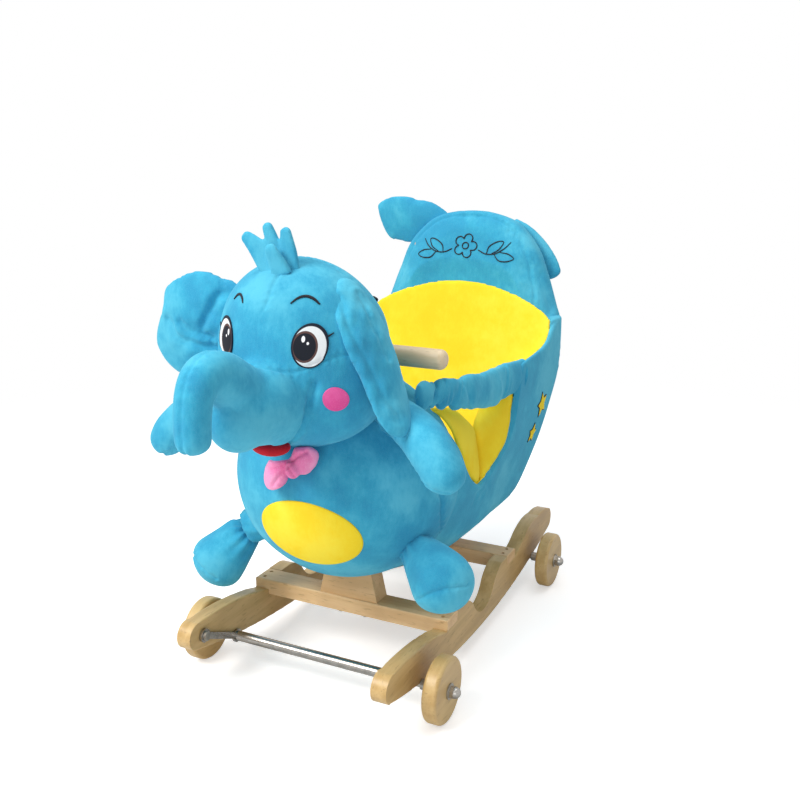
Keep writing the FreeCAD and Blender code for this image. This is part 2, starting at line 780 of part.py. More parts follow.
# Rounded body of the toy: sections from the belly back to the front of the seat.
body_shares = [(-1.0, 0.1), (-0.965, 0.262), (-0.88, 0.475), (-0.7, 0.714), (-0.45, 0.893),
               (-0.15, 0.989), (0.05, 1.0), (0.246, 0.97)]


def body_loft(extra=0.0):
    wires = []
    for along, share in body_shares:
        depth = float(S.body_half_depth) + extra
        centre = Vector(0, along * depth - float(S.body_place), float(S.body_height))
        across = Vector((float(S.body_half_width) + extra) * share, 0, 0)
        up = Vector(0, 0, (float(S.body_half_height) + extra) * share)
        wires.append(oval(centre, across, up))
    return Part.makeLoft(wires, True, False)


ball = body_loft()
above_base = Part.makeBox(far * 2, far * 2, far, Vector(-far, -far, base))
plush_body = without(ball.common(above_base), side_left, side_right, seat_base, *boards)

head_shares = [(0, 0.42, 0.42, 0.05), (0.045, 0.72, 0.7, 0.03), (0.156, 0.935, 0.93, 0),
               (0.306, 1.0, 1.0, -0.02), (0.508, 0.95, 0.975, 0), (0.708, 0.86, 0.88, 0.05),
               (0.849, 0.71, 0.74, 0.1), (0.95, 0.49, 0.5, 0.13), (1.0, 0.2, 0.2, 0.14)]


def head_loft():
    wires = []
    for rise, width, depth, ahead in head_shares:
        half_depth = float(S.head_half_depth)
        centre = Vector(0, -float(S.head_place) - ahead * half_depth,
                        float(S.head_low) + rise * float(S.head_height))
        wires.append(oval(centre, Vector(width * float(S.head_half_width), 0, 0),
                          Vector(0, depth * half_depth, 0)))
    return Part.makeLoft(wires, True, False)


handle_hole = pieces["handle_bar"].Shape
head = without(head_loft(), ball, pieces["neck_post"].Shape, handle_hole)

neck_shares = [(0, 1.0), (0.4, 1.0), (0.75, 0.95), (0.93, 0.8), (1.0, 0.5)]


def neck_loft(extra=0.0):
    wires = []
    for rise, share in neck_shares:
        z = float(S.neck_low) + rise * float(S.neck_top - S.neck_low)
        across = Vector((float(S.neck_half_width) + extra) * share, 0, 0)
        up = Vector(0, (float(S.neck_half_depth) + extra) * share, 0)
        wires.append(oval(Vector(0, -float(S.neck_place), z), across, up))
    return Part.makeLoft(wires, True, False)


neck = without(neck_loft(), ball, head, handle_hole, pieces["neck_post"].Shape)
zip_half = float(S.zip_width) / 2
zip_zone = Part.makeBox(zip_half * 2, far, float(S.neck_top - S.neck_low) * 0.72,
                        Vector(-zip_half, -float(S.neck_place), float(S.neck_low) + float(S.neck_top - S.neck_low) * 0.2))
neck_zip = without(neck_loft(float(S.zip_thick)).common(zip_zone), neck_loft(), ball, head, handle_hole,
                   side_left, side_right)

# Trunk: how far forward, how high and radius of each section along its curved path.
trunk_shares = [(0.62, 0.895, 0.88), (0.72, 0.915, 0.79), (0.8, 0.94, 0.65), (0.87, 0.985, 0.5),
                (0.93, 1.022, 0.43), (0.975, 1.01, 0.385), (0.997, 0.965, 0.345), (1.005, 0.91, 0.325),
                (1.003, 0.872, 0.25)]


def trunk_loft():
    places = [Vector(0, -reach * float(S.trunk_reach), height * float(S.trunk_top))
              for reach, height, radius in trunk_shares]
    radii = [shares[2] * float(S.trunk_root_radius) for shares in trunk_shares]
    return limb(places, radii, radii, Vector(1, 0, 0))


trunk = without(trunk_loft(), head)


def head_spot(x_share, y_share, z_share):
    """A place given by the head's half width, its place ahead and its height."""
    return Vector(x_share * float(S.head_half_width), -y_share * float(S.head_place),
                  float(S.head_low) + z_share * float(S.head_height))


left_ear_shares = [(0.62, 1.04, 0.88, 0.3), (0.8, 1.1, 0.75, 0.48), (0.99, 1.1, 0.56, 0.47),
                   (1.09, 1.02, 0.36, 0.38), (1.12, 0.93, 0.21, 0.28), (1.125, 0.865, 0.12, 0.12)]
right_ear_shares = [(-0.8, 0.97, 0.69, 0.42), (-1.07, 1.02, 0.65, 0.74), (-1.4, 1.06, 0.57, 1.0),
                    (-1.7, 1.08, 0.53, 0.95), (-1.9, 1.09, 0.515, 0.7), (-1.99, 1.09, 0.51, 0.3)]
ear_thick_shares = [1.0, 1.0, 1.0, 0.9, 0.8, 0.5]


def ear_loft(table, width_way):
    places = [head_spot(*shares[:3]) for shares in table]
    widths = [shares[3] * float(S.ear_half_width) for shares in table]
    thicks = [share * float(S.ear_half_thick) for share in ear_thick_shares]
    return limb(places, widths, thicks, width_way)


ear_left = without(ear_loft(left_ear_shares, Vector(0.3, 0.95, 0)), head, neck)
ear_right = without(ear_loft(right_ear_shares, Vector(0.05, 0, 1)), head, neck)

arm_shares = [(0.4, 0.645, 1.075, 0.82), (0.57, 0.76, 1.086, 0.9), (0.727, 0.853, 1.066, 0.97),
              (0.84, 0.912, 1.033, 1.0), (0.932, 0.95, 0.987, 0.94), (0.99, 0.968, 0.94, 0.78),
              (1.02, 0.977, 0.905, 0.4)]


def arm_loft():
    places = [Vector(x * float(S.hand_spread), -y * float(S.hand_place), z * float(S.hand_height))
              for x, y, z, radius in arm_shares]
    radii = [shares[3] * float(S.hand_radius) for shares in arm_shares]
    return limb(places, radii, radii)


arm_left = without(arm_loft(), ball, head_loft(), ear_left, side_left)
arm_right = mirrored(without(arm_loft(), ball, head_loft(), mirrored(ear_right), side_left))

# Round patch on the belly, facing forwards and down.
patch_way = Vector(0, -0.878, -0.48)
body_centre = Vector(0, -float(S.body_place), float(S.body_height))
patch_zone = Part.makeCylinder(float(S.patch_radius), far, body_centre, patch_way)
belly_patch = without(body_loft(float(S.patch_thick)).common(patch_zone), ball)

leg_shares = [(0.46, 0.8, 0.6, 1.0), (0.64, 0.89, 0.5, 1.0), (0.82, 0.94, 0.25, 0.96)]
foot_shares = [(0.74, 0.91, 0.42, 0.5), (0.83, 0.945, 0.3, 0.86), (0.95, 0.98, 0.1, 1.0),
               (1.06, 1.01, -0.12, 1.0), (1.18, 1.035, -0.35, 0.82), (1.28, 1.055, -0.52, 0.4)]


def foot_spot(shares, height):
    """A place given by the foot's spread and place; heights are shares of the foot's radius."""
    return Vector(shares[0] * float(S.foot_spread), -shares[1] * float(S.foot_place),
                  height + shares[2] * float(S.foot_radius))


def foot_loft(table, height, radius):
    radii = [shares[3] * float(radius) for shares in table]
    return limb([foot_spot(shares, height) for shares in table], radii, radii)


def leg_pair(height):
    foot = without(foot_loft(foot_shares, height, S.foot_radius), ball)
    leg = without(foot_loft(leg_shares, height, S.leg_radius), ball, foot, belly_patch)
    return foot, leg


foot_left, leg_left = leg_pair(float(S.left_foot_height))
foot_right, leg_right = [mirrored(shape) for shape in leg_pair(float(S.right_foot_height))]

# Hood of the seat back: height, half width and depth behind the leaning face.
backrest_shares = [(0, 1.05, 0.985), (0.19, 1.03, 0.87), (0.4, 0.975, 0.7), (0.6, 0.89, 0.53),
                   (0.81, 0.72, 0.38), (0.93, 0.5, 0.28), (1.0, 0.25, 0.19)]
front_round_share = 0.2
rear_round_share = 0.45


def backrest_section(rise, width, depth_share):
    z = tub_top + rise * (float(S.backrest_top) - tub_top)
    half = width * float(S.backrest_width) / 2
    near = lean_at(z)
    depth = depth_share * float(S.backrest_depth)
    front_round, rear_round = front_round_share * depth, rear_round_share * depth
    bow = 1 - math.sqrt(0.5)

    def spot(x, y):
        return Vector(x, near + y, z)

    def corner(sign):
        return [Part.Arc(spot(sign * (half - front_round), 0),
                         spot(sign * (half - front_round * bow), front_round * bow),
                         spot(sign * half, front_round)),
                Part.LineSegment(spot(sign * half, front_round), spot(sign * half, depth - rear_round)),
                Part.Arc(spot(sign * half, depth - rear_round),
                         spot(sign * (half - rear_round * bow), depth - rear_round * bow),
                         spot(sign * (half - rear_round), depth))]

    edges = corner(1) + corner(-1)
    edges.append(Part.LineSegment(spot(half - front_round, 0), spot(front_round - half, 0)))
    edges.append(Part.LineSegment(spot(half - rear_round, depth), spot(rear_round - half, depth)))
    return Part.Wire(Part.sortEdges([edge.toShape() for edge in edges])[0])


backrest = Part.makeLoft([backrest_section(*shares) for shares in backrest_shares], True, False)
backrest = without(backrest, pieces["back_board"].Shape)

# Flaps sewn to the back of the hood: places in shares of its half width, depth and top.
right_flap_shares = [(-0.5, 0.4, 0.96, 0.7), (-0.69, 0.38, 0.975, 0.9), (-0.9, 0.36, 0.968, 1.0),
                     (-1.1, 0.34, 0.958, 0.88), (-1.2, 0.33, 0.95, 0.7), (-1.26, 0.33, 0.942, 0.4)]
left_flap_shares = [(0.42, 0.8, 0.926, 0.6), (0.575, 0.9, 0.894, 0.68), (0.68, 0.93, 0.87, 0.65),
                    (0.77, 0.95, 0.84, 0.58), (0.84, 0.97, 0.815, 0.45), (0.88, 1.0, 0.795, 0.25)]


def flap_loft(table, width_way):
    near = lean_at(float(S.backrest_top))
    places = [Vector(x * float(S.backrest_width) / 2, near + y * float(S.backrest_depth) / 2,
                     z * float(S.backrest_top)) for x, y, z, width in table]
    widths = [shares[3] * float(S.flap_half_width) for shares in table]
    thicks = [share * float(S.flap_half_thick) for share in ear_thick_shares]
    return limb(places, widths, thicks, width_way)


flap_right = without(flap_loft(right_flap_shares, Vector(0.2, 0, 1)), backrest)
flap_left = without(flap_loft(left_flap_shares, Vector(0.75, 0, 0.66)), backrest)

# Gathered straps over the leg holes, from the side wall forward to the shoulder.
strap_shares = [(0.925, 0.5, 0.925), (0.905, 0.36, 0.905), (0.86, 0.2, 0.9), (0.77, 0.07, 0.93),
                (0.62, -0.04, 0.965)]


def strap_loft():
    places = [Vector(x * float(S.tub_width) / 2, *side_place((y, z))) for x, y, z in strap_shares]
    heights = [float(S.strap_half_height)] * len(places)
    thicks = [float(S.strap_half_thick)] * len(places)
    return limb(places, heights, thicks, Vector(0, 0, 1))


strap = without(strap_loft(), side_left, ball, arm_loft(), neck_loft(), head_loft())
strap_left = without(strap, ear_left)
strap_right = mirrored(strap)

# Yellow lining of the seat well and its cushion.
lining = float(S.lining)
gap = float(S.soft_gap)
lining_zone = Part.makeBox(far, far, far, Vector(0, well_front, well_floor))
lining_left = without(panel(inner - lining, inner, (front_y, 0), *side_steps).common(lining_zone),
                      rump_zone)
lining_right = mirrored(lining_left)
arch_side = float(S.lining_side_top)
arch = Part.Face(Part.Wire([
    Part.LineSegment(Vector(-inner, 0, well_floor), Vector(inner, 0, well_floor)).toShape(),
    Part.LineSegment(Vector(inner, 0, well_floor), Vector(inner, 0, arch_side)).toShape(),
    Part.Arc(Vector(inner, 0, arch_side), Vector(0, 0, float(S.lining_top)),
             Vector(-inner, 0, arch_side)).toShape(),
    Part.LineSegment(Vector(-inner, 0, arch_side), Vector(-inner, 0, well_floor)).toShape()]))
arch = arch.extrude(Vector(0, far, 0))
lining_back = without(arch.common(behind_back(-lining)), rump_zone, lining_left, lining_right)

# Cushion: height, drawn-in inset of the whole edge.
cushion_shares = [(0, 0.05), (0.25, 0), (0.6, 0.02), (0.86, 0.13), (1.0, 0.36)]
corner_share = 0.06


def cushion_section(rise, inset_share):
    z = well_floor + rise * float(S.cushion_height)
    half = inner - lining - gap
    near = well_front + gap
    rear = lean_at(z) - lining - gap
    inset = inset_share * half
    draw = corner_share * half + inset
    left, right, low, high = inset - half, half - inset, near + inset, rear - inset
    middle = (near + rear) / 2
    corners = [Vector(draw - half, near + draw, z), Vector(half - draw, near + draw, z),
               Vector(half - draw, rear - draw, z), Vector(draw - half, rear - draw, z)]
    swells = [Vector(0, low, z), Vector(right, middle, z), Vector(0, high, z), Vector(left, middle, z)]
    return Part.Wire([Part.Arc(corners[i], swells[i], corners[(i + 1) % 4]).toShape() for i in range(4)])


cushion = Part.makeLoft([cushion_section(*shares) for shares in cushion_shares], True, False)


# Tuft of four felt spikes and a bow tie of two lobes and a knot.
tuft_shares = [(-0.95, 0.68), (-0.32, 1.0), (0.14, 0.88), (-0.09, 0.5)]
tuft_lean_shares = [0.05, 0.02, -0.02, 0.3]


def make_tuft():
    tall, half = float(S.tuft_height), float(S.tuft_half_width)
    root = Vector(0, -float(S.head_place) - float(S.head_half_depth) * 0.47,
                  float(S.head_low + S.head_height) - half)
    spikes = []
    for (aside, rise), ahead in zip(tuft_shares, tuft_lean_shares):
        tip = root + Vector(aside * tall, -ahead * tall, rise * tall)
        start = root + Vector(aside * half, -ahead * half, 0)
        middle = (start + tip) / 2
        radii = [half * 0.8, half * 0.75, half * 0.2]
        spikes.append(without(limb([start, middle, tip], radii, radii, Vector(0, 1, 0)), head, *spikes))
    return Part.makeCompound(spikes)


def make_bow():
    wide, tall, thick = [float(value) for value in (S.bow_half_width, S.bow_half_height, S.bow_thick)]
    centre = Vector(0, -float(S.bow_place), float(S.bow_height))
    knot = Part.makeSphere(tall / 2, centre)
    knot = without(knot, head, ball)
    lobes = []
    for side in (-1, 1):
        tilt = -side * tall * 0.3
        places = [centre + Vector(side * wide * share, -thick * 0.1, tilt * share)
                  for share in (0.15, 0.6, 1.3, 1.75)]
        heights = [tall * share for share in (0.4, 0.75, 1.0, 0.6)]
        thicks = [thick * share for share in (0.35, 0.45, 0.5, 0.3)]
        lobes.append(without(limb(places, heights, thicks, Vector(0, 0, 1)), knot, head, ball))
    return Part.makeCompound([knot] + lobes)


soft_shapes = {
    "plush_body": plush_body, "neck": neck, "neck_zip": neck_zip, "head": head, "trunk": trunk,
    "ear_left": ear_left, "ear_right": ear_right, "arm_left": arm_left, "arm_right": arm_right,
    "leg_left": leg_left, "leg_right": leg_right, "foot_left": foot_left, "foot_right": foot_right,
    "belly_patch": belly_patch, "side_panel_left": side_left, "side_panel_right": side_right,
    "rump": rump, "seat_base": seat_base, "backrest": backrest, "back_flap_left": flap_left,
    "back_flap_right": flap_right, "strap_left": strap_left, "strap_right": strap_right,
    "seat_cushion": cushion, "lining_left": lining_left, "lining_right": lining_right,
    "lining_back": lining_back, "hair_tuft": make_tuft(), "bow_tie": make_bow(),
}
for name, shape in soft_shapes.items():
    keep_shape(name, shape)


# The origin is under the middle of the whole toy.

doc.recompute()
boxes = [item.Shape.optimalBoundingBox(True, False) for item in pieces.values()]
shift = -(min(box.YMin for box in boxes) + max(box.YMax for box in boxes)) / 2
sheet.set(f"A{row}", "origin_shift")
sheet.set(f"B{row}", str(round(shift, 2)))
sheet.setAlias(f"B{row}", "origin_shift")
doc.recompute()
for item in pieces.values():
    formula = dict(item.ExpressionEngine).get(".Placement.Base.y", "0")
    item.setExpression("Placement.Base.y", f"{formula} + sizes.origin_shift")
doc.recompute()

for item in doc.Objects:
    if "Invalid" in item.State or "Error" in item.State:
        raise ValueError(f"{item.Label} is {item.State}")

os.makedirs("parts", exist_ok=True)
for name, item in pieces.items():
    if item.Shape.isNull() or not item.Shape.isValid():
        raise ValueError(name + " has no valid shape")
    item.Shape.exportStep(f"parts/{name}.step")
print("pieces", len(pieces), "origin shift", round(shift, 2))
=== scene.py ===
import json
import math
import bpy
import numpy as np
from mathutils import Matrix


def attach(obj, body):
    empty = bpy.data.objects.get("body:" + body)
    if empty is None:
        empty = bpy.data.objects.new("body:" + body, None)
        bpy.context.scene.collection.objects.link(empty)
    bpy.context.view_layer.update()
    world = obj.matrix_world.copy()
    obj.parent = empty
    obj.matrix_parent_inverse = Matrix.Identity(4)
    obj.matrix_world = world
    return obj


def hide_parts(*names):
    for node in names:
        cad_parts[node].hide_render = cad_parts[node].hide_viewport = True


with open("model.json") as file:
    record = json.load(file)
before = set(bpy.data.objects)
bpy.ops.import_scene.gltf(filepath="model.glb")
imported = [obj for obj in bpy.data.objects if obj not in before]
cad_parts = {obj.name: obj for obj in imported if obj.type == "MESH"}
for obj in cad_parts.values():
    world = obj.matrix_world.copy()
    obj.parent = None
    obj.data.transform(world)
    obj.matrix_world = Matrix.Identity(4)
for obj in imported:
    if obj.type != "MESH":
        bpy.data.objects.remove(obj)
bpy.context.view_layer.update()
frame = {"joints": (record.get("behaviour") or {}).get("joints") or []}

# Lengths below are millimetres in the maker's own frame: front of the toy is -Y, floor is z = 0.
originShift = frame["joints"][0]["pos_m"][1] * 1000 + 248  # the pack's frame sits this far back
body = "main_frame"
sides = ((1, "Left"), (-1, "Right"))


print("frame loaded")


class Value:
    # One socket of a material or of the world; + - * / ** on it add Math nodes.

    def __init__(self, nodes, socket):
        self.nodes = nodes
        self.socket = socket

    def maths(self, operation, first, second):
        return self.nodes.node("ShaderNodeMath", {"operation": operation}, {0: first, 1: second})

    def __add__(self, other):
        return self.maths("ADD", self, other)

    def __sub__(self, other):
        return self.maths("SUBTRACT", self, other)

    def __rsub__(self, other):
        return self.maths("SUBTRACT", other, self)

    def __mul__(self, other):
        return self.maths("MULTIPLY", self, other)

    def __truediv__(self, other):
        return self.maths("DIVIDE", self, other)

    def __rtruediv__(self, other):
        return self.maths("DIVIDE", other, self)

    def __pow__(self, other):
        return self.maths("POWER", self, other)

    __radd__ = __add__
    __rmul__ = __mul__


class Nodes:
    # The nodes of one material or of the world; each of them comes from the method node.

    def __init__(self, owner):
        owner.use_nodes = True
        self.tree = owner.node_tree
        self.tree.nodes.clear()

    def node(self, kind, settings=None, values=None, output=0):
        node = self.tree.nodes.new(kind)
        for name, value in (settings or {}).items():
            setattr(node, name, value)
        for name, value in (values or {}).items():
            if isinstance(value, Value):
                self.tree.links.new(value.socket, node.inputs[name])
            else:
                node.inputs[name].default_value = value
        return Value(self, node.outputs[output]) if len(node.outputs) else None

    def place(self):
        return self.node("ShaderNodeTexCoord", output="Object")

    def ray(self, kind):
        return self.node("ShaderNodeLightPath", output=f"Is {kind} Ray")

    def either(self, first, second):
        return self.node("ShaderNodeMath", {"operation": "MAXIMUM"}, {0: first, 1: second})

    def pick(self, factor, first, second):
        return self.node("ShaderNodeMixShader", None, {0: factor, 1: first, 2: second})

    def between(self, value, low, high, newLow=0.0, newHigh=1.0):
        return self.node("ShaderNodeMapRange", {"interpolation_type": "SMOOTHSTEP"},
                         {0: value, 1: low, 2: high, 3: newLow, 4: newHigh})


class Finish(Nodes):
    # A material with one Principled shader; constants go straight on its sockets.

    def __init__(self, name, **constants):
        self.material = bpy.data.materials.new(name)
        super().__init__(self.material)
        constants = {socket.replace("_", " "): value for socket, value in constants.items()}
        surface = self.node("ShaderNodeBsdfPrincipled", None, constants)
        self.shader = surface.socket.node
        self.node("ShaderNodeOutputMaterial", None, {"Surface": surface})

    def stretched(self, scale, turn=(0, 0, 0), source=None):
        return self.node("ShaderNodeMapping", None,
                         {"Vector": source or self.place(), "Rotation": turn, "Scale": scale})

    def noise(self, scale, detail=3.0, rough=0.5, source=None):
        return self.node("ShaderNodeTexNoise", None, {"Vector": source or self.place(), "Scale": scale,
                                                      "Detail": detail, "Roughness": rough})

    def blend(self, factor, first, second):
        return self.node("ShaderNodeMix", {"data_type": "RGBA"}, {0: factor, 6: first, 7: second}, output=2)

    def feed(self, socket, value):
        self.tree.links.new(value.socket, self.shader.inputs[socket])

    def bump(self, height, strength, distance):
        values = {"Height": height, "Strength": strength, "Distance": distance}
        self.feed("Normal", self.node("ShaderNodeBump", None, values))


def paint(red, green, blue):
    # A colour as an eye reads it (0 to 255), turned into the renderer's own scale.
    share = np.array([red, green, blue]) / 255
    linear = np.where(share <= 0.04045, share / 12.92, ((share + 0.055) / 1.055) ** 2.4)
    return (*[float(value) for value in linear], 1.0)


def smooth(low, high, value):
    share = np.clip((value - low) / (high - low), 0, 1)
    return share * share * (3 - 2 * share)


def spline(stations, place):
    # A smooth curve through the stations: each span blends its four nearest stations by cubes.
    table = np.asarray(stations, float)
    padded = np.vstack([2 * table[0] - table[1], table, 2 * table[-1] - table[-2]])
    run = np.clip(place, 0, 1) * (len(table) - 1)
    start = np.minimum(run.astype(int), len(table) - 2)
    share = (run - start)[:, None]
    first, second, third, fourth = (padded[start + step] for step in range(4))
    return 0.5 * (2 * second + (third - first) * share
                  + (2 * first - 5 * second + 4 * third - fourth) * share ** 2
                  + (3 * second - first - 3 * third + fourth) * share ** 3)


def unit(vectors):
    return vectors / np.maximum(np.linalg.norm(vectors, axis=-1, keepdims=True), 1e-9)


def flipped(line, side):
    return [(side * x, *rest) for x, *rest in line]


def ringTurns(count):
    # Angles once round a ring, with no double at its end.
    return np.linspace(0, 2 * np.pi, count, endpoint=False)


def easedRows(rows):
    # Places from 0 to 1 that crowd together towards both ends, by a cosine.
    return 0.5 - 0.5 * np.cos(np.linspace(0, np.pi, rows))


def ovalPower(turn, power):
    # A superellipse's cosine and sine.
    cosine, sine = np.cos(turn), np.sin(turn)
    return np.sign(cosine) * np.abs(cosine) ** (2 / power), np.sign(sine) * np.abs(sine) ** (2 / power)


def ballWays(rows, cols, gap):
    # Directions over a ball by height and turn, but for a small gap at each pole.
    lift = np.linspace(gap - np.pi / 2, np.pi / 2 - gap, rows)[:, None]
    turn = ringTurns(cols)[None, :]
    flat, rise = np.cos(lift), np.sin(lift)
    return np.stack([flat * np.cos(turn), flat * np.sin(turn), rise + 0 * turn], axis=-1)


def tubeGrid(stations, wide, rows=72, cols=48, power=2.0, domes=(0, 0), cup=0.0):
    # A rounded ring carried along the path: stations are x, y, z, half width, half thickness.
    # The ring is a superellipse; over a dome's length its size follows a quarter circle to nothing.
    line = spline(stations, easedRows(rows))
    centre = line[:, :3]
    ahead = unit(np.gradient(centre, axis=0))
    guide = np.broadcast_to(np.asarray(wide, float), centre.shape)
    across = unit(guide - ahead * (guide * ahead).sum(axis=1, keepdims=True))
    up = np.cross(ahead, across)
    run = np.concatenate([[0], np.cumsum(np.linalg.norm(np.diff(centre, axis=0), axis=1))])
    size = np.ones(rows)
    for length, distance in zip(domes, (run, run[-1] - run)):
        if length:
            size *= np.sqrt(np.clip(1 - np.clip(1 - distance / length, 0, 1) ** 2, 0.0004, 1))
    cosine, sine = (wave[None, :, None] for wave in ovalPower(ringTurns(cols), power))
    reach, thick, bend = (value[:, None, None] for value in (line[:, 3] * size, line[:, 4] * size, cup * size))
    return (centre[:, None] + across[:, None] * reach * cosine
            + up[:, None] * (thick * sine + bend * cosine ** 2))


def toFrame(points):
    return (np.asarray(points, float) + (0, originShift, 0)) * 0.001


def solidFaces(rows, cols):
    # Quads around every ring of the grid, and a fan of triangles over each end.
    index = np.arange(rows * cols).reshape(rows, cols)
    beside = np.roll(index, -1, axis=1)
    quads = np.stack([index[:-1], beside[:-1], beside[1:], index[1:]], axis=-1).reshape(-1, 4)
    low = np.stack([beside[0], index[0], np.full(cols, rows * cols)], axis=1)
    high = np.stack([index[-1], beside[-1], np.full(cols, rows * cols + 1)], axis=1)
    return quads.tolist() + low.tolist() + high.tolist()


def solidPart(grid):
    # A closed surface from a grid of rings: its points and its faces, turned outwards.
    rows, cols, _ = grid.shape
    points = np.vstack([grid.reshape(-1, 3), grid[0].mean(axis=0), grid[-1].mean(axis=0)])
    faces = solidFaces(rows, cols)
    middle = points.mean(axis=0)
    corners = np.array([face[:3] for face in faces])
    a, b, c = (points[corners[:, step]] - middle for step in range(3))
    if (a * np.cross(b, c)).sum() < 0:
        faces = [face[::-1] for face in faces]
    return points, faces


def shadeSmooth(mesh):
    mesh.polygons.foreach_set("use_smooth", np.ones(len(mesh.polygons), bool))
    mesh.update()


def makeObject(name, parts):
    points, faces, start = [], [], 0
    for place, around in parts:
        points.append(place)
        faces += [[corner + start for corner in face] for face in around]
        start += len(place)
    mesh = bpy.data.meshes.new(name)
    mesh.from_pydata(toFrame(np.vstack(points)).tolist(), [], faces)
    shadeSmooth(mesh)
    piece = bpy.data.objects.new(name, mesh)
    bpy.context.scene.collection.objects.link(piece)
    return piece


def readPoints(piece):
    place = np.empty(len(piece.data.vertices) * 3)
    piece.data.vertices.foreach_get("co", place)
    return place.reshape(-1, 3) * 1000 - (0, originShift, 0)


def readNormals(piece):
    normals = np.empty(len(piece.data.vertices) * 3)
    piece.data.vertices.foreach_get("normal", normals)
    return normals.reshape(-1, 3)


def writePoints(piece, points):
    piece.data.vertices.foreach_set("co", toFrame(points).ravel())
    piece.data.update()


def addModifier(piece, kind, **settings):
    modifier = piece.modifiers.new(kind.lower(), kind)
    for name, value in settings.items():
        setattr(modifier, name, value)
    return modifier


def settle(piece):
    # Turns what the modifiers show into the piece's own mesh.
    shown = piece.evaluated_get(bpy.context.evaluated_depsgraph_get())
    mesh = bpy.data.meshes.new_from_object(shown)
    piece.modifiers.clear()
    piece.data = mesh
    shadeSmooth(mesh)


def evenSkin(piece, voxel, rounds):
    # One even skin over everything in the piece, eased by averaging neighbours.
    addModifier(piece, "REMESH", mode="VOXEL", voxel_size=voxel * 0.001)
    addModifier(piece, "SMOOTH", factor=0.5, iterations=rounds)
    settle(piece)


def finer(piece):
    addModifier(piece, "SUBSURF", levels=1, render_levels=1)
    settle(piece)


def puff(piece, pressure=4.0, most=6.0, frames=20, stiff=15.0):
    # Air pressed into a closed cloth for a moment, with no point moving further than most.
    before = readPoints(piece)
    cloth = piece.modifiers.new("puff", "CLOTH")
    cloth.settings.use_pressure = True
    cloth.settings.uniform_pressure_force = pressure
    cloth.settings.tension_stiffness = stiff
    cloth.settings.compression_stiffness = stiff
    cloth.settings.effector_weights.gravity = 0
    cloth.point_cache.frame_start = 1
    cloth.point_cache.frame_end = frames
    scene = bpy.context.scene
    for number in range(1, frames + 1):
        scene.frame_set(number)
    settle(piece)
    scene.frame_set(1)
    after = readPoints(piece)
    step = after - before
    length = np.linalg.norm(step, axis=1, keepdims=True)
    writePoints(piece, before + step * np.minimum(1, most / np.maximum(length, 1e-6)))


def lineDistance(points, line):
    # The distance from every point to the nearest place on a broken line.
    nearest = np.full(len(points), 1e9)
    for start, end in zip(line[:-1], line[1:]):
        along = end - start
        share = np.clip(((points - start) @ along) / max(along @ along, 1e-9), 0, 1)
        nearest = np.minimum(nearest, np.linalg.norm(points - start - share[:, None] * along, axis=1))
    return nearest


def sew(piece, lines, depth, width, pucker=0.35, pitch=9.0, reach=(1, 1, 1)):
    # A seam draws the skin in by a bell-shaped groove, and puckers it in waves beside the groove.
    # A piece's cut is its depth, width, pucker, the pucker's pitch and its reach.
    # A small reach along an axis lets the groove run through the thickness that way.
    points, normals = readPoints(piece), readNormals(piece)
    move = np.zeros(len(points))
    for line in lines:
        line = np.asarray(line, float)
        path = spline(line, np.linspace(0, 1, 24)) if len(line) > 2 else line
        # the drawn line is laid on the skin: each place takes the nearest point of it
        path = np.stack([points[((points - place) ** 2).sum(axis=1).argmin()] for place in path])
        distance = lineDistance(points * reach, path * reach)
        wave = np.sin((points @ unit(line[-1] - line[0])) * 2 * np.pi / pitch)
        move -= depth * np.exp(-(distance / width) ** 2)
        move += pucker * wave * np.exp(-((distance - width * 1.8) / (width * 1.3)) ** 2)
    writePoints(piece, points + normals * move[:, None])


def lumps(points, size, seed, count=9):
    # Soft unevenness: a sum of waves in scattered directions.
    pick = np.random.default_rng(seed)
    way = unit(pick.normal(size=(count, 3))) * (pick.uniform(0.6, 1.5, count) * 2 * np.pi / size)[:, None]
    return np.cos(points @ way.T + pick.uniform(0, 2 * np.pi, count)).sum(axis=1) / count


def press(piece, amount, size, seed):
    points = readPoints(piece)
    writePoints(piece, points + readNormals(piece) * (amount * lumps(points, size, seed))[:, None])


def soften(piece, look, seed=None):
    # Works a piece's skin as its dictionary says: skin is voxel and rounds of easing, air is pressure and
    # the farthest a point may go, uneven is how much, how wide and the seed.
    if "skin" in look:
        evenSkin(piece, *look["skin"])
    if "air" in look:
        puff(piece, *look["air"])
    if "uneven" in look:
        amount, size, own = look["uneven"]
        press(piece, amount, size, own if seed is None else seed)
    if look.get("fine"):
        finer(piece)


def dress(piece, material, stands=()):
    piece.data.materials.clear()
    piece.data.materials.append(material)
    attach(piece, body)
    if stands:
        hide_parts(*stands)
    return piece


def makePlush(name, tones, sheen):
    # Short brushed pile: broad patches where the nap lies another way, soft streaks, then fine fibres.
    deep, main, pale = (paint(*tone) for tone in tones)
    finish = Finish(name, Roughness=0.9, Sheen_Weight=sheen, Sheen_Roughness=0.5,
                    Sheen_Tint=pale, Specular_IOR_Level=0.15)
    drift = finish.noise(9, 2, 0.5)
    swirl = finish.noise(34, 3, 0.55)
    streak = finish.noise(1.0, 3, 0.6, finish.stretched((260, 260, 110), (0.4, 0.25, 0.3)))
    fibre = finish.noise(1300, 2, 0.6)
    nap = finish.between(drift * 0.45 + swirl * 0.4 + streak * 0.15, 0.36, 0.62)
    tone = finish.blend(nap, deep, main)
    brushed = finish.between(drift * 0.6 + swirl * 0.3 + streak * 0.1, 0.46, 0.62)
    tone = finish.blend(brushed * 0.24, tone, pale)
    finish.feed("Base Color", finish.blend(finish.between(fibre, 0.4, 0.7) * 0.12, tone, pale))
    finish.bump(streak * 0.55 + fibre * 0.35 + swirl * 0.5, 0.4, 0.0012)
    return finish.material


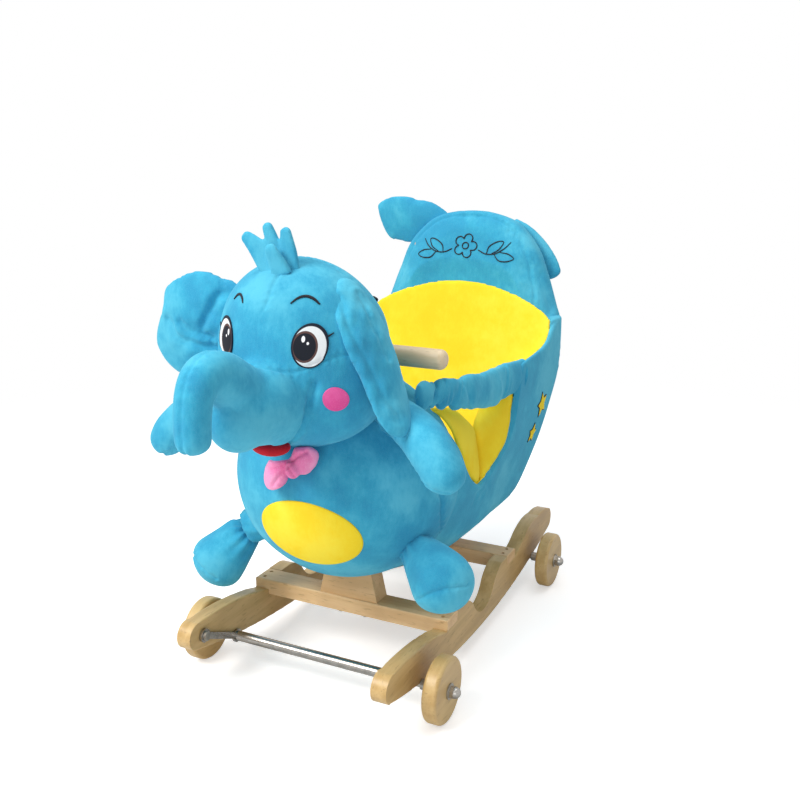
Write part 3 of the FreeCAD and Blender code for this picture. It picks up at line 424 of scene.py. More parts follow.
def makeWood(name, along, tones, coat, seed):
    # Steamed beech: soft growth bands and short dark flecks, both drawn out along the board.
    pale, main, dark = (paint(*tone) for tone in tones)
    finish = Finish(name, Coat_Weight=coat, Coat_Roughness=0.3, Specular_IOR_Level=0.45)
    long, fleck = [70.0] * 3, [420.0] * 3
    long["XYZ".index(along)], fleck["XYZ".index(along)] = 5.0, 70.0
    shifted = finish.node("ShaderNodeMapping", None,
                          {"Vector": finish.place(), "Location": (seed, seed * 0.7, 0.3)})
    bands = finish.noise(1.0, 5, 0.62, finish.stretched(tuple(long), source=shifted))
    broad = finish.noise(14, 2, 0.5, shifted)
    flecks = finish.noise(1.0, 2, 0.5, finish.stretched(tuple(fleck), source=shifted))
    grain = finish.between(bands, 0.36, 0.66)
    tone = finish.blend(grain, main, pale)
    spots = finish.between(flecks, 0.6, 0.72)
    worn = finish.between(broad, 0.45, 0.7)
    tone = finish.blend(spots * 0.45, tone, dark)
    finish.feed("Base Color", finish.blend(worn * 0.25, tone, dark))
    finish.feed("Roughness", finish.between(bands, 0.3, 0.7, 0.38, 0.52))
    finish.bump(bands * 0.6 + flecks * 0.4, 0.14, 0.0005)
    return finish.material


def makeMetal(name, tone, rough, mottle):
    # Drawn steel: cloudy dull spots and fine scratches round the rod.
    finish = Finish(name, Metallic=1.0)
    cloud = finish.noise(120, 3, 0.6)
    scratch = finish.noise(1.0, 2, 0.5, finish.stretched((30, 900, 900)))
    dull = finish.between(cloud, 0.4, 0.7) * mottle
    finish.feed("Base Color", finish.blend(dull, paint(*tone), paint(110, 108, 104)))
    finish.feed("Roughness", rough + scratch * 0.12 + cloud * 0.08)
    return finish.material


def makeCloth(name, tones, rough, sheen, scale, depth):
    # Satin, felt or thread: faint broad drifts of tone under a fine grain.
    deep, main, pale = (paint(*tone) for tone in tones)
    finish = Finish(name, Sheen_Weight=sheen, Sheen_Roughness=0.35, Sheen_Tint=pale, Specular_IOR_Level=0.25)
    drift = finish.noise(30, 3, 0.55)
    fine = finish.noise(scale, 3, 0.6)
    tone = finish.blend(finish.between(drift, 0.38, 0.62), deep, main)
    finish.feed("Base Color", finish.blend(finish.between(fine, 0.5, 0.7) * 0.35, tone, pale))
    finish.feed("Roughness", finish.between(fine, 0.3, 0.7, rough - 0.06, rough + 0.06))
    finish.bump(fine, 0.4, depth)
    return finish.material


# Deep, main and pale tones, then the sheen.
plushes = {
    "bluePlush": ([(48, 150, 190), (64, 178, 210), (132, 206, 224)], 0.5),
    "yellowPlush": ([(250, 214, 40), (254, 228, 56), (253, 234, 96)], 0.12),
}
# The same tones, then roughness, sheen, fineness of the grain and its depth in metres.
cloths = {
    "pinkSatin": ([(240, 124, 180), (250, 158, 202), (254, 202, 226)], 0.6, 0.35, 700, 0.0004),
    "cheekFelt": ([(234, 82, 156), (244, 102, 172), (250, 142, 194)], 0.85, 0.2, 900, 0.0004),
    "redFelt": ([(178, 14, 32), (204, 24, 44), (224, 60, 74)], 0.75, 0.15, 800, 0.0003),
    "darkThread": ([(16, 18, 26), (26, 30, 40), (60, 66, 82)], 0.6, 0.2, 1500, 0.0002),
    "zipBlack": ([(18, 18, 20), (34, 34, 36), (90, 90, 94)], 0.5, 0.1, 600, 0.0004),
}
# The axis that the grain follows, pale, main and dark tones, the varnish and a shift of the grain.
woods = {
    "rockerBeech": ("Y", [(214, 180, 122), (194, 158, 98), (150, 112, 62)], 0.25, 0.0),
    "barBeech": ("X", [(238, 202, 152), (222, 182, 130), (160, 118, 74)], 0.1, 0.4),
    "blockBeech": ("X", [(236, 196, 144), (222, 180, 126), (156, 114, 72)], 0.1, 1.3),
    "wheelBeech": ("Y", [(216, 184, 124), (200, 164, 102), (160, 120, 68)], 0.35, 2.1),
    "handleBeech": ("X", [(226, 204, 168), (206, 180, 140), (160, 130, 92)], 0.4, 3.3),
    "plywood": ("Y", [(212, 178, 128), (190, 154, 106), (140, 104, 66)], 0.0, 4.1),
}
# Tone, roughness and how much of the dull spots shows.
metals = {
    "chromeTube": ((172, 168, 162), 0.16, 0.35),
    "zincSteel": ((176, 172, 164), 0.26, 0.5),
    "darkScrew": ((92, 88, 82), 0.35, 0.6),
}
bluePlush, yellowPlush = (makePlush(name, *look) for name, look in plushes.items())
pinkSatin, cheekFelt, redFelt, darkThread, zipBlack = (makeCloth(name, *look) for name, look in cloths.items())
rockerWood, barWood, blockWood, wheelWood, handleWood, plyWood = (
    makeWood(name, *look) for name, look in woods.items())
chrome, zinc, darkSteel = (makeMetal(name, *look) for name, look in metals.items())
print("finishes made")

nodeFinish = {
    "rocker_left": rockerWood, "rocker_right": rockerWood, "front_crossbar": barWood, "rear_crossbar": barWood,
    "front_support_block": blockWood, "rear_support_block": blockWood, "seat_board": plyWood,
    "neck_post": plyWood, "back_board": plyWood, "handle_bar": handleWood, "crossbar_screws": darkSteel,
    "block_bolts": zinc, "block_washers": zinc, "block_nuts": zinc, "pivot_screws": zinc,
}
for end in ("front", "rear"):
    nodeFinish.update({f"{end}_axle_rod": zinc, f"{end}_axle_tube": chrome, f"{end}_swing_arms": chrome,
                       f"{end}_axle_spacers": zinc, f"{end}_hub_washers": zinc, f"{end}_cap_nuts": chrome,
                       f"{end}_left_wheel": wheelWood, f"{end}_right_wheel": wheelWood})
for node, material in nodeFinish.items():
    mesh = bpy.data.objects[node].data
    mesh.materials.clear()
    mesh.materials.append(material)


ball = {
    "centre": (0, -108, 240), "half": np.array([132, 122, 124]), "floor": 115.5, "back": -77.5,
    "skin": (4.5, 4), "uneven": (1.2, 90, 3), "fine": True,
    # the crease down each side, where the seat's cover is sewn on
    "crease": [(122, -139, 282), (127, -137, 255), (129, -130, 230), (125, -119, 202), (112, -99, 175),
               (98, -84, 160)],
    "cut": (3.2, 3.0, 0.5, 12),
}


def makeBody():
    # An ellipsoid by height and turn, pressed flat where it sits on the board and against the seat.
    grid = ballWays(84, 120, 0.02) * ball["half"] + ball["centre"]
    grid[..., 1] = np.minimum(grid[..., 1], ball["back"])
    piece = makeObject("bodyBall", [solidPart(grid)])
    soften(piece, ball)
    points = readPoints(piece)
    points[:, 2] = np.maximum(points[:, 2], ball["floor"])
    writePoints(piece, points)
    sew(piece, [ball["crease"], flipped(ball["crease"], -1)], *ball["cut"])
    return piece


dress(makeBody(), bluePlush, ["plush_body"])

patch = {"x": 11, "z": 203, "halfWidth": 59.5, "halfHeight": 40.5, "tilt": 0.02, "proud": 1.4}


def makePatch():
    # A disc of rings laid on the body's ellipsoid, thick enough to stand proud with a turned edge.
    ring = np.concatenate([np.linspace(0.02, 0.96, 22), [0.985, 1.0, 1.0]])[:, None]
    proud = np.concatenate([np.full(22, 1.0), [0.8, 0.35, -1.0]])[:, None]
    turn = ringTurns(96)[None, :]
    x = patch["x"] + ring * patch["halfWidth"] * np.cos(turn + patch["tilt"])
    z = patch["z"] + ring * patch["halfHeight"] * np.sin(turn)
    middle, half = ball["centre"], ball["half"]
    flat = ((x - middle[0]) / half[0]) ** 2 + ((z - middle[2]) / half[2]) ** 2
    y = middle[1] - half[1] * np.sqrt(np.clip(1 - flat, 0.01, 1))
    skin = np.stack([x, y, z], axis=-1)
    outward = unit((skin - middle) / half ** 2)
    return makeObject("bellyPatch", [solidPart(skin + outward * (proud * patch["proud"])[..., None])])


dress(makePatch(), yellowPlush, ["belly_patch"])
print("body done")


head = {
    "halfWidth": 92, "halfDepth": 84, "middle": 398.5, "halfHeight": 99.5, "place": -196,
    # how far forward the face leans at each height
    "lean": ([299, 360, 440, 470, 498], [4, -2, 3, 9, 12]),
    "trunk": [(0, -284, 370, 31, 31), (0, -306, 378, 27, 27), (0, -325, 390, 25.5, 25.5),
              (0, -344, 402.5, 24, 24.5), (0, -359, 408, 22.5, 22), (0, -373, 404.5, 20, 19.5),
              (0, -382.5, 392, 18, 17.5), (0, -386.5, 374, 17.2, 16.8), (0, -387, 356, 17, 16.6),
              (0, -386, 340.5, 16.5, 16.2)],
    "snout": [(0, -226, 357, 52, 46), (0, -258, 358, 48, 45), (0, -284, 362, 44, 42.5), (0, -308, 359, 38, 37),
              (0, -328, 352, 30, 29), (0, -347, 349, 20, 20)],
    "cheekSeam": [(4, -300, 398), (31, -275, 395), (65.5, -255, 409), (80, -238, 411), (90, -205, 409)],
    "browSeam": [(3, -238, 492), (5, -262, 473), (3, -272, 455)],
    "crownSeam": [(88, -196, 455), (70, -196, 480), (30, -200, 497), (-30, -200, 497), (-70, -196, 480),
                  (-88, -196, 455)],
    # the deep fold where the muzzle swells out over the jaw
    "jaw": [(-8, -286, 317), (19, -268, 321), (37, -269, 343), (46, -266, 363), (50, -262, 382)],
    "skin": (3.2, 4), "uneven": (1.0, 55, 11), "fine": True, "cut": (1.5, 2.0), "jawCut": (5.5, 4.2, 0),
}


def headSpread(z):
    rise = (z - head["middle"]) / head["halfHeight"]
    fall = np.where(rise > 0, np.abs(rise) ** 2.1, np.abs(rise) ** 3.1)
    return np.sqrt(np.clip(1 - fall, 0.0005, 1))


def makeHead():
    # Rings by height: a full ellipse whose size falls off gently above and late below.
    step = np.linspace(-1, 1, 70)
    rise = np.sign(step) * (1 - (1 - np.abs(step)) ** 2)
    z = head["middle"] + head["halfHeight"] * rise
    spread = headSpread(z)[:, None]
    turn = ringTurns(90)[None, :]
    x = head["halfWidth"] * spread * np.cos(turn)
    y = head["place"] - np.interp(z, *head["lean"])[:, None] + head["halfDepth"] * spread * np.sin(turn)
    skull = np.stack([x, y, z[:, None] + 0 * turn], axis=-1)
    trunk = tubeGrid(head["trunk"], (1, 0, 0), domes=(0, 11))
    snout = tubeGrid(head["snout"], (1, 0, 0), domes=(0, 16))
    piece = makeObject("headSkin", [solidPart(part) for part in (skull, trunk, snout)])
    soften(piece, head)
    # the trunk's own seams run along the middle of its front and of its back
    front, behind = trunk[:, 36], trunk[:, 12]
    if front[-12][1] > behind[-12][1]:
        front, behind = behind, front
    sew(piece, [front[14:], behind[30:], head["cheekSeam"], flipped(head["cheekSeam"], -1), head["browSeam"],
                head["crownSeam"]], *head["cut"])
    sew(piece, [head["jaw"], flipped(head["jaw"], -1)], *head["jawCut"])
    return piece


headSkin = dress(makeHead(), bluePlush, ["head", "trunk"])
print("head done")


def lay(piece, target, axis, proud, thick):
    # Pushes a flat badge along one axis onto a skin, then thickens it.
    forward = axis[0] == "+"
    addModifier(piece, "SHRINKWRAP", target=target, wrap_method="PROJECT", use_project_x=axis[1] == "x",
                use_project_y=axis[1] == "y", use_positive_direction=forward,
                use_negative_direction=not forward, offset=proud * 0.001)
    addModifier(piece, "SOLIDIFY", thickness=thick * 0.001, offset=0.0)
    settle(piece)


away = {"+y": -330.0, "+x": -260.0, "-x": 260.0}  # where a badge starts out, in front of its skin


def stand(flat, axis):
    # Turns a drawing's across and up into places well in front of the skin it is laid on.
    start = np.full(flat.shape[:-1], away[axis])
    across, up = flat[..., 0], flat[..., 1]
    return np.stack([across, start, up] if axis[1] == "y" else [start, across, up], axis=-1)


def badge(name, ring, proud, thick, target=None, axis="+y"):
    # Rings of a flat patch, closed by a fan at the middle, with a map of its own from 0 to 1.
    rings, turns, _ = ring.shape
    flat = stand(ring, axis)
    points = np.vstack([flat.reshape(-1, 3), flat[0].mean(axis=0)])
    index = np.arange(rings * turns).reshape(rings, turns)
    beside = np.roll(index, -1, axis=1)
    quads = np.stack([index[:-1], beside[:-1], beside[1:], index[1:]], axis=-1).reshape(-1, 4).tolist()
    fan = np.stack([beside[0], index[0], np.full(turns, rings * turns)], axis=1).tolist()
    faces = quads + fan
    if axis == "-x":
        faces = [face[::-1] for face in faces]
    piece = makeObject(name, [(points, faces)])
    layer = piece.data.uv_layers.new(name="own")
    corners = np.empty(len(piece.data.loops), int)
    piece.data.loops.foreach_get("vertex_index", corners)
    low, high = points.min(axis=0), points.max(axis=0)
    share = ((points - low) / np.maximum(high - low, 1e-6))[:, [0 if axis[1] == "y" else 1, 2]]
    layer.data.foreach_set("uv", share[corners].ravel())
    lay(piece, target or headSkin, axis, proud, thick)
    return piece


def discRings(x, z, halfWidth, halfHeight, tilt=0.0):
    ring = np.concatenate([np.linspace(0.04, 0.94, 14), [0.975, 1.0]])[:, None]
    turn = ringTurns(64)[None, :]
    across, up = ring * halfWidth * np.cos(turn), ring * halfHeight * np.sin(turn)
    return np.stack([x + across * math.cos(tilt) - up * math.sin(tilt),
                     z + across * math.sin(tilt) + up * math.cos(tilt)], axis=-1)


def makeEyeFinish(name, side):
    # Printed satin: white, a dark outline, a brown rim round the pupil, and two small lights.
    finish = Finish(name, Roughness=0.62, Specular_IOR_Level=0.2)
    parts = finish.node("ShaderNodeUVMap", {"uv_map": "own"})
    across, up = (finish.node("ShaderNodeSeparateXYZ", None, {0: parts}, axis) for axis in (0, 1))

    def ellipse(x, y, wide, tall):
        return (((across - x) / wide) ** 2 + ((up - y) / tall) ** 2) ** 0.5

    grain = finish.noise(900, 2, 0.6)
    edge = finish.between(ellipse(*eyePrint["outline"]), 0.975, 1.005)
    aside, *irisSize = eyePrint["iris"]
    iris = ellipse(0.5 - side * aside, *irisSize)
    colour = finish.blend(finish.between(grain, 0.4, 0.6) * 0.2, paint(232, 236, 238), paint(214, 220, 226))
    colour = finish.blend(1 - finish.between(iris, 0.985, 1.01), colour, paint(92, 66, 62))
    colour = finish.blend(1 - finish.between(iris, 0.84, 0.88), colour, paint(20, 24, 34))
    colour = finish.blend(edge, colour, paint(22, 30, 44))
    shift = eyePrint["lightShift"] if side < 0 else 0  # the right eye is seen more from the side
    for x, y, wide, tall in eyePrint["lights"]:
        light = 1 - finish.between(ellipse(0.5 + x * side + shift, y, wide, tall), 0.8, 1.05)
        colour = finish.blend(light, colour, paint(250, 250, 252))
    finish.feed("Base Color", colour)
    finish.bump(grain, 0.15, 0.0003)
    return finish.material


eye = {"x": 48.5, "z": 421, "halfWidth": {1: 15.4, -1: 13.6}, "halfHeight": 21.6, "tilt": -0.05}
# Ovals on the eye's own map, from 0 to 1: across, up, half width and half height.
eyePrint = {"outline": (0.5, 0.485, 0.452, 0.455), "iris": (0.125, 0.485, 0.365, 0.352),
            "lights": ((-0.16, 0.66, 0.055, 0.075), (-0.03, 0.565, 0.036, 0.035)), "lightShift": 0.09}
cheek = {"x": 67, "z": 367, "halfWidth": 9.4, "halfHeight": 12.4}
for side, word in sides:
    disc = discRings(side * eye["x"], eye["z"], eye["halfWidth"][side], eye["halfHeight"], side * eye["tilt"])
    dress(badge(f"eye{word}", disc, 1.0, 1.2), makeEyeFinish(f"eyePrint{word}", side))
    disc = discRings(side * cheek["x"], cheek["z"], cheek["halfWidth"], cheek["halfHeight"])
    dress(badge(f"cheek{word}", disc, 0.9, 1.2), cheekFelt)


def makeStroke(name, points, half, target=None, proud=0.6, thick=0.9, axis="+y", count=40):
    # A stitched line: a ribbon as wide as its points say, one edge on each side of the drawn curve.
    line = spline(points, np.linspace(0, 1, count))
    way = unit(np.gradient(line[:, :2], axis=0))
    square = np.stack([-way[:, 1], way[:, 0]], axis=-1) * (half * line[:, 2:3])
    one, two = stand(line[:, :2] + square, axis), stand(line[:, :2] - square, axis)
    index = np.arange(count - 1)
    ladder = np.stack([index, index + 1, index + 1 + count, index + count], axis=-1).tolist()
    piece = makeObject(name, [(np.vstack([one, two]), ladder)])
    lay(piece, target or headSkin, axis, proud, thick)
    return dress(piece, darkThread)


# Across, up and share of the full width, then half the full width.
threads = {
    "browLeft": ([(27.5, 460.5, 0.5), (33, 465.5, 1), (39.3, 467, 1.1), (46, 464.5, 1), (52, 459.5, 0.5)], 1.0),
    "browRight": ([(-43, 459, 0.5), (-38.5, 463.5, 1), (-33, 464.5, 1.1), (-28.5, 461.5, 1),
                   (-26, 457.5, 0.5)], 1.0),
    "lashLeft": ([(60.5, 428.5, 1.1), (63.5, 430.5, 0.9), (66.5, 433, 0.4)], 0.9),
    "lashRight": ([(-60.5, 428.5, 1.1), (-63.5, 430.5, 0.9), (-66.5, 433, 0.4)], 0.9),
}
for name, (points, half) in threads.items():
    makeStroke(name, points, half)

mouth = {"centre": (2, -269, 315), "half": (21, 16, 9.5)}


def makeMouth():
    # A soft lower lip: an ellipsoid under the snout.
    return makeObject("mouth", [solidPart(ballWays(30, 48, 0.03) * mouth["half"] + mouth["centre"])])


dress(makeMouth(), redFelt)
print("face done")


ears = {
    "earLeft": {"line": [(50, -206, 478, 11, 6), (64, -214, 462, 23, 8), (82, -222, 436.5, 31, 8),
                         (96, -217, 401.5, 30, 8), (106, -213, 370, 27, 7.5), (113, -212, 349, 24, 7),
                         (119, -213, 335, 19, 6.5), (122, -213, 324, 14, 5.5)],
                "wide": (0.3, 0.95, 0), "cup": -5.0, "domes": (12, 16), "node": "ear_left", "seed": 21,
                "cut": (1.8, 3.4, 0.9, 26, (1, 1, 1)),
                "seams": [[(62, -230, 462), (80, -244, 438), (98, -238, 402), (108, -228, 370),
                           (120, -208, 335)],
                          [(72, -214, 464), (92, -218, 434), (105, -212, 404)]]},
    "earRight": {"line": [(-70, -196, 438, 24, 7), (-88, -200, 433, 43, 8), (-110, -206, 425, 57, 9),
                          (-133, -210, 411, 60, 9.5), (-157, -212, 399, 54, 9), (-183, -213, 392, 44, 8)],
                 "wide": (0.1, 0, 1), "cup": 13.0, "domes": (4, 46), "node": "ear_right", "seed": 22,
                 "cut": (5.5, 4.8, 0.9, 26, (1, 0.1, 1)),
                 "seams": [[(-160, -207, 424), (-150, -207, 410), (-138, -207, 402), (-120, -207, 398),
                            (-98, -207, 396)],
                           [(-142, -207, 421), (-129, -207, 412), (-108, -207, 408)],
                           [(-118, -207, 417), (-109, -207, 435), (-98, -207, 454)]]},
}


earPad = {"skin": (3.0, 3), "air": (3.0, 4.0), "uneven": (1.3, 42, 21), "fine": True}


def makeEar(name, ear):
    # A flat pad carried along the ear's middle line, dished across, with drawn creases by the head.
    rows, cols = 80, 56
    swell = np.linspace(0.2, 1, rows) * ear["cup"]
    grid = tubeGrid(ear["line"], ear["wide"], rows, cols, 2.0, ear["domes"], swell)
    piece = makeObject(name, [solidPart(grid)])
    soften(piece, earPad, ear["seed"])
    sew(piece, ear["seams"], *ear["cut"])
    return dress(piece, bluePlush, [ear["node"]])


for name, ear in ears.items():
    makeEar(name, ear)
print("ears done")

tuft = [
    [(-5, -238, 484, 15, 6), (-15, -239, 499, 13.5, 5.5), (-28, -240, 512, 9, 5), (-41, -240, 522, 5, 4)],
    [(-3, -233, 486, 10, 5.5), (-7, -234, 506, 8.5, 5), (-11, -236, 521, 7, 4.5), (-14.5, -238, 534, 4.8, 3.6)],
    [(9, -233, 486, 11, 5.5), (8.5, -234, 504, 9, 5), (7, -235, 518, 7, 4.5), (6, -236, 530, 5, 3.6)],
    [(6, -243, 484, 11.5, 5.5), (2, -246, 497, 9.5, 5), (-2, -249, 507, 7, 4.2), (-5, -249, 514.5, 4.6, 3.4)],
]
tuftParts = [solidPart(tubeGrid(line, (1, 0.1, 0), 30, 24, 2.2, (0, 4), -2.0)) for line in tuft]
hairTuft = makeObject("hairTuft", tuftParts)
evenSkin(hairTuft, 1.6, 3)
dress(hairTuft, bluePlush, ["hair_tuft"])

bow = {
    "lobes": [[(6, -231, 287, 5, 5), (-2, -238, 282, 9.5, 7), (-11, -241, 276, 15.5, 8.5),
               (-20, -238, 270, 15.5, 7.5), (-28, -233, 265, 10, 5.5)],
              [(6, -231, 288, 5, 5), (12, -239, 291, 10.5, 7.5), (20, -241, 294, 16, 8.5),
               (28, -236, 298, 13.5, 6.5), (34, -230, 301, 8, 5)],
              [(7, -237, 292, 3.5, 4), (10, -246, 288, 7, 6), (15, -249, 283, 8, 6.5),
               (19, -245, 280, 6.5, 5)]],
    "wide": (0.35, 0, 1),
    "folds": [[(4, -240, 288), (-8, -249, 283), (-18, -249, 279)],
              [(4, -240, 284), (-5, -247, 274), (-12, -247, 264)],
              [(10, -246, 292), (19, -249, 300), (26, -242, 304)],
              [(10, -250, 289), (15, -252, 284), (18, -251, 279)]],
    "knot": (5, -238, 286), "knotHalf": (3, 12),
    "skin": (1.8, 3), "foldCut": (2.6, 1.7, 0.4, 6), "knotCut": (1.2, 2.0, 0, 6),
}
bowParts = [solidPart(tubeGrid(line, bow["wide"], 36, 32, 2.0, (3, 8))) for line in bow["lobes"]]
bowTie = makeObject("bowTie", bowParts)
soften(bowTie, bow)
sew(bowTie, bow["folds"], *bow["foldCut"])
knotX, knotY, knotZ = bow["knot"]
narrow, tall = bow["knotHalf"]
knotRing = [(knotX + narrow * math.sin(turn), knotY + tall * math.cos(turn), knotZ + tall * math.sin(turn))
            for turn in np.linspace(0, 2 * np.pi, 17).tolist()]
sew(bowTie, [knotRing], *bow["knotCut"])
dress(bowTie, pinkSatin, ["bow_tie"])
print("trim done")


# Each limb's middle line with its half width and half thickness; the right ones hang lower.
arms = {"Left": [(60, -138, 324, 19, 19), (78, -150, 327, 21, 21), (96, -164, 328, 21.5, 21.5),
                 (122, -183, 323, 23, 22.5), (141, -195, 314, 24, 23.5), (156, -203, 301, 23, 23),
                 (166, -207, 288, 22, 22), (174, -210, 272, 20, 20)],
        "Right": [(60, -138, 326, 19, 19), (80, -150, 328, 21, 21), (100, -165, 328, 22, 22),
                  (128, -185, 322, 24, 23.5), (149, -199, 312, 24.5, 24), (166, -208, 297, 23, 23),
                  (176, -212, 282, 21, 21), (184, -215, 264, 18.5, 18.5)]}
legs = {"Left": [(62, -128, 170, 24, 23), (78, -136, 175, 23, 22), (93, -142, 178, 20, 19),
                 (106, -148, 177, 18, 18)],
        "Right": [(62, -128, 176, 24, 23), (80, -136, 176, 23.5, 22.5), (98, -144, 172, 22.5, 22),
                  (115, -151, 162, 21, 20.5)]}
feet = {"Left": [(97, -143, 179, 17, 16), (110, -149, 175, 21, 20), (127, -158, 166, 29, 28),
                 (143, -166, 156, 34.5, 34), (156, -175, 149, 34, 34), (171, -188, 140, 31, 31)],
        "Right": [(114, -151, 161, 20, 19.5), (124, -155, 150, 23.5, 23), (135, -160, 136, 28.5, 28),
                  (148, -165, 121, 33.5, 33), (159, -170, 109, 35, 34.5), (168, -175, 99, 34, 33)]}
armSeams = [[(112, -190, 304), (146, -214, 290), (172, -226, 268), (184, -222, 256)],
            [(78, -176, 322), (88, -184, 317), (98, -188, 309)],
            [(80, -172, 312), (92, -180, 306), (104, -186, 299)],
            [(86, -182, 334), (97, -190, 330), (108, -196, 321)]]
toeSeam = [(131, -199, 141), (148, -205, 154), (159, -202, 160), (173, -194, 163), (185, -175, 161)]
toeDrop = {"Left": 0, "Right": -34}
limb = {"skin": (3.4, 3), "air": (3.0, 4.0), "uneven": (0.9, 45, 31), "fine": True, "cut": (2.2, 2.0),
        "folds": 9, "foldDepth": 1.4, "twist": 0.05}


def makeLimb(name, line, domes, node, seed, gather, seams=()):
    # A stuffed tube; at its root it is drawn together in waves round it, which die out along it.
    piece = makeObject(name, [solidPart(tubeGrid(line, (0, 0, 1), 72, 56, 2.1, domes))])
    soften(piece, limb, seed)
    points = readPoints(piece)
    start, ahead = np.array(line[0][:3]), unit(np.array(line[2][:3]) - np.array(line[0][:3]))
    along = (points - start) @ ahead
    off = points - start - along[:, None] * ahead
    turn = np.arctan2(off[:, 2], off @ np.cross(ahead, (0, 0, 1)))
    wave = np.sin(turn * limb["folds"] + along * limb["twist"] + np.sin(turn * 2))
    fold = wave * np.exp(-(along / gather) ** 2) * limb["foldDepth"]
    writePoints(piece, points + readNormals(piece) * fold[:, None])
    if seams:
        sew(piece, [flipped(seam, math.copysign(1, line[0][0])) for seam in seams], *limb["cut"])
    return dress(piece, bluePlush, [node])


for side, word in sides:
    low = word.lower()
    makeLimb(f"arm{word}", flipped(arms[word], side), (0, 20), f"arm_{low}", 31 + side, 44, armSeams)
    makeLimb(f"leg{word}", flipped(legs[word], side), (0, 0), f"leg_{low}", 41 + side, 55)
    toes = [(x, y, z + toeDrop[word]) for x, y, z in toeSeam]
    makeLimb(f"foot{word}", flipped(feet[word], side), (8, 30), f"foot_{low}", 51 + side, 24, [toes])
print("limbs done")


tub = {
    "front": -98,
    # outer plan at each height: z, half width, rear face, half width at the front, corner radius
    "levels": [(115, 84, 148, 40, 62), (130, 100, 176, 60, 62), (149, 115, 214, 82, 62),
               (190, 123.5, 248, 110, 60), (248, 137, 270, 119, 62), (300, 143, 290, 107, 62),
               (345, 144, 296, 91, 62), (380, 143.5, 298, 79, 60)],
    # round the shell from the front: place of the base, place of the rim, height of the rim
    "rim": [(0, 0, 312), (.02, .042, 300), (.06, .099, 272), (.11, .15, 246), (.2, .234, 222),
            (.32, .3475, 207), (.43, .44, 222), (.52, .52, 243), (.57, .545, 268), (.61, .545, 303),
            (.66, .566, 335), (.72, .62, 342), (.8, .734, 344), (.9, .867, 350), (1.0, .97, 370),
            (1.2, 1.2, 376), (1.6, 1.6, 376), (2.2, 2.2, 376), (3, 3, 376)],
    "foot": 115.5, "well": 124, "least": 6, "inner": 112, "widened": 33, "flare": 50,
    "leanFoot": (166, 209), "leanSlope": 91 / 303, "round": 4.5, "wall": 5,
    "creases": [[(126, 4, 196), (128, 14, 182)], [(127, -6, 200), (128, -8, 184)],
                [(129, 14, 203), (132, 30, 190)]],
    "rearSeam": [(143, 236, 366), (141, 242, 330), (133, 256, 280), (121, 240, 230), (104, 208, 180)],
    "uneven": (1.4, 85, 61), "cut": (1.6, 3.0, 0.4, 14),
}


def leanAt(z):
    return tub["leanFoot"][0] + (z - tub["leanFoot"][1]) * tub["leanSlope"]


# the plan between those heights, rounded off by a spline
tub["table"] = spline(tub["levels"], np.linspace(0, 1, 80))


def tubOuter(place, z):
    # Half plan of the shell: a side bowed out from the front, a round corner, then the flat rear.
    table = tub["table"]
    half, rear, nose, corner = (np.interp(z, table[:, 0], table[:, column]) for column in range(1, 5))
    along = np.clip(place, 0, 1)
    straight = rear - corner - tub["front"]
    y = tub["front"] + along * straight
    bowed = np.clip(along * straight / (0.55 * (rear - tub["front"])), 0, 1)
    x = half - (half - nose) * (1 - bowed) ** 2.3
    turn = np.clip(place - 1, 0, 1) * np.pi / 2
    x = x - corner * (1 - np.cos(turn))
    y = y + corner * np.sin(turn)
    x = x - (half - corner) * np.clip(place - 2, 0, 1)
    return x, y


def tubStations(count):
    # Places round half the shell, with the rim's inner edge a wall's thickness inside its outer face.
    half = spline(tub["rim"], np.linspace(0, 1, count))
    low, high, top = np.clip(half[:, 0:1], 0, 3), np.clip(half[:, 1:2], 0, 3), half[:, 2:3]
    x, y = tubOuter(high, top - tub["round"])
    turn = np.clip(high - 1, 0, 1) * np.pi / 2
    return low, high, top, x - tub["wall"] * np.cos(turn), y - tub["wall"] * np.sin(turn)


def wellWall(edgeX, edgeY, top, z, inset):
    # The well's inside: its width flares towards the rim, and its back is the leaning board.
    wide = tub["inner"] - inset + tub["widened"] * smooth(top - tub["flare"], top - 4, z)
    return np.minimum(edgeX - inset * 0.5, wide), np.minimum(edgeY, leanAt(z) - 1)


def makeTub():
    # A closed profile at each station round the shell: up outside, over a rolled rim, down inside.
    low, high, top, edgeX, edgeY = tubStations(110)
    shoulder = top - tub["round"]
    rise = np.linspace(0, 1, 40)[None, :]
    z = tub["foot"] + (shoulder - tub["foot"]) * rise
    x, y = tubOuter(low + (high - low) * rise, z)
    outer = np.stack([x, y, z], axis=-1)
    fall = np.linspace(1, 0, 26)[None, :]
    z = tub["well"] + (shoulder - tub["well"]) * fall
    x, y = wellWall(edgeX, edgeY, shoulder, z, 0)
    outerX, outerY = tubOuter(low + (high - low) * fall, z)
    least = tub["least"]
    inside = np.stack([np.minimum(x, outerX - least), np.minimum(y, outerY - least), z], axis=-1)
    swing = np.linspace(0, np.pi, 9)[1:-1][None, :, None]
    middle = (outer[:, -1:] + inside[:, :1]) / 2
    reach = (outer[:, -1:] - inside[:, :1]) / 2
    roll = middle + reach * np.cos(swing) + np.array([0, 0, 1.0]) * tub["round"] * np.sin(swing)
    profile = np.concatenate([outer, roll, inside], axis=1)
    other = profile[::-1][1:] * (-1, 1, 1)
    piece = makeObject("tubSkin", [solidPart(np.concatenate([profile, other], axis=0))])
    soften(piece, tub)
    sew(piece, [*tub["creases"], tub["rearSeam"], flipped(tub["rearSeam"], -1)], *tub["cut"])
    return piece


tubSkin = makeTub()
dress(tubSkin, bluePlush, ["side_panel_left", "side_panel_right", "rump"])
print("shell done")


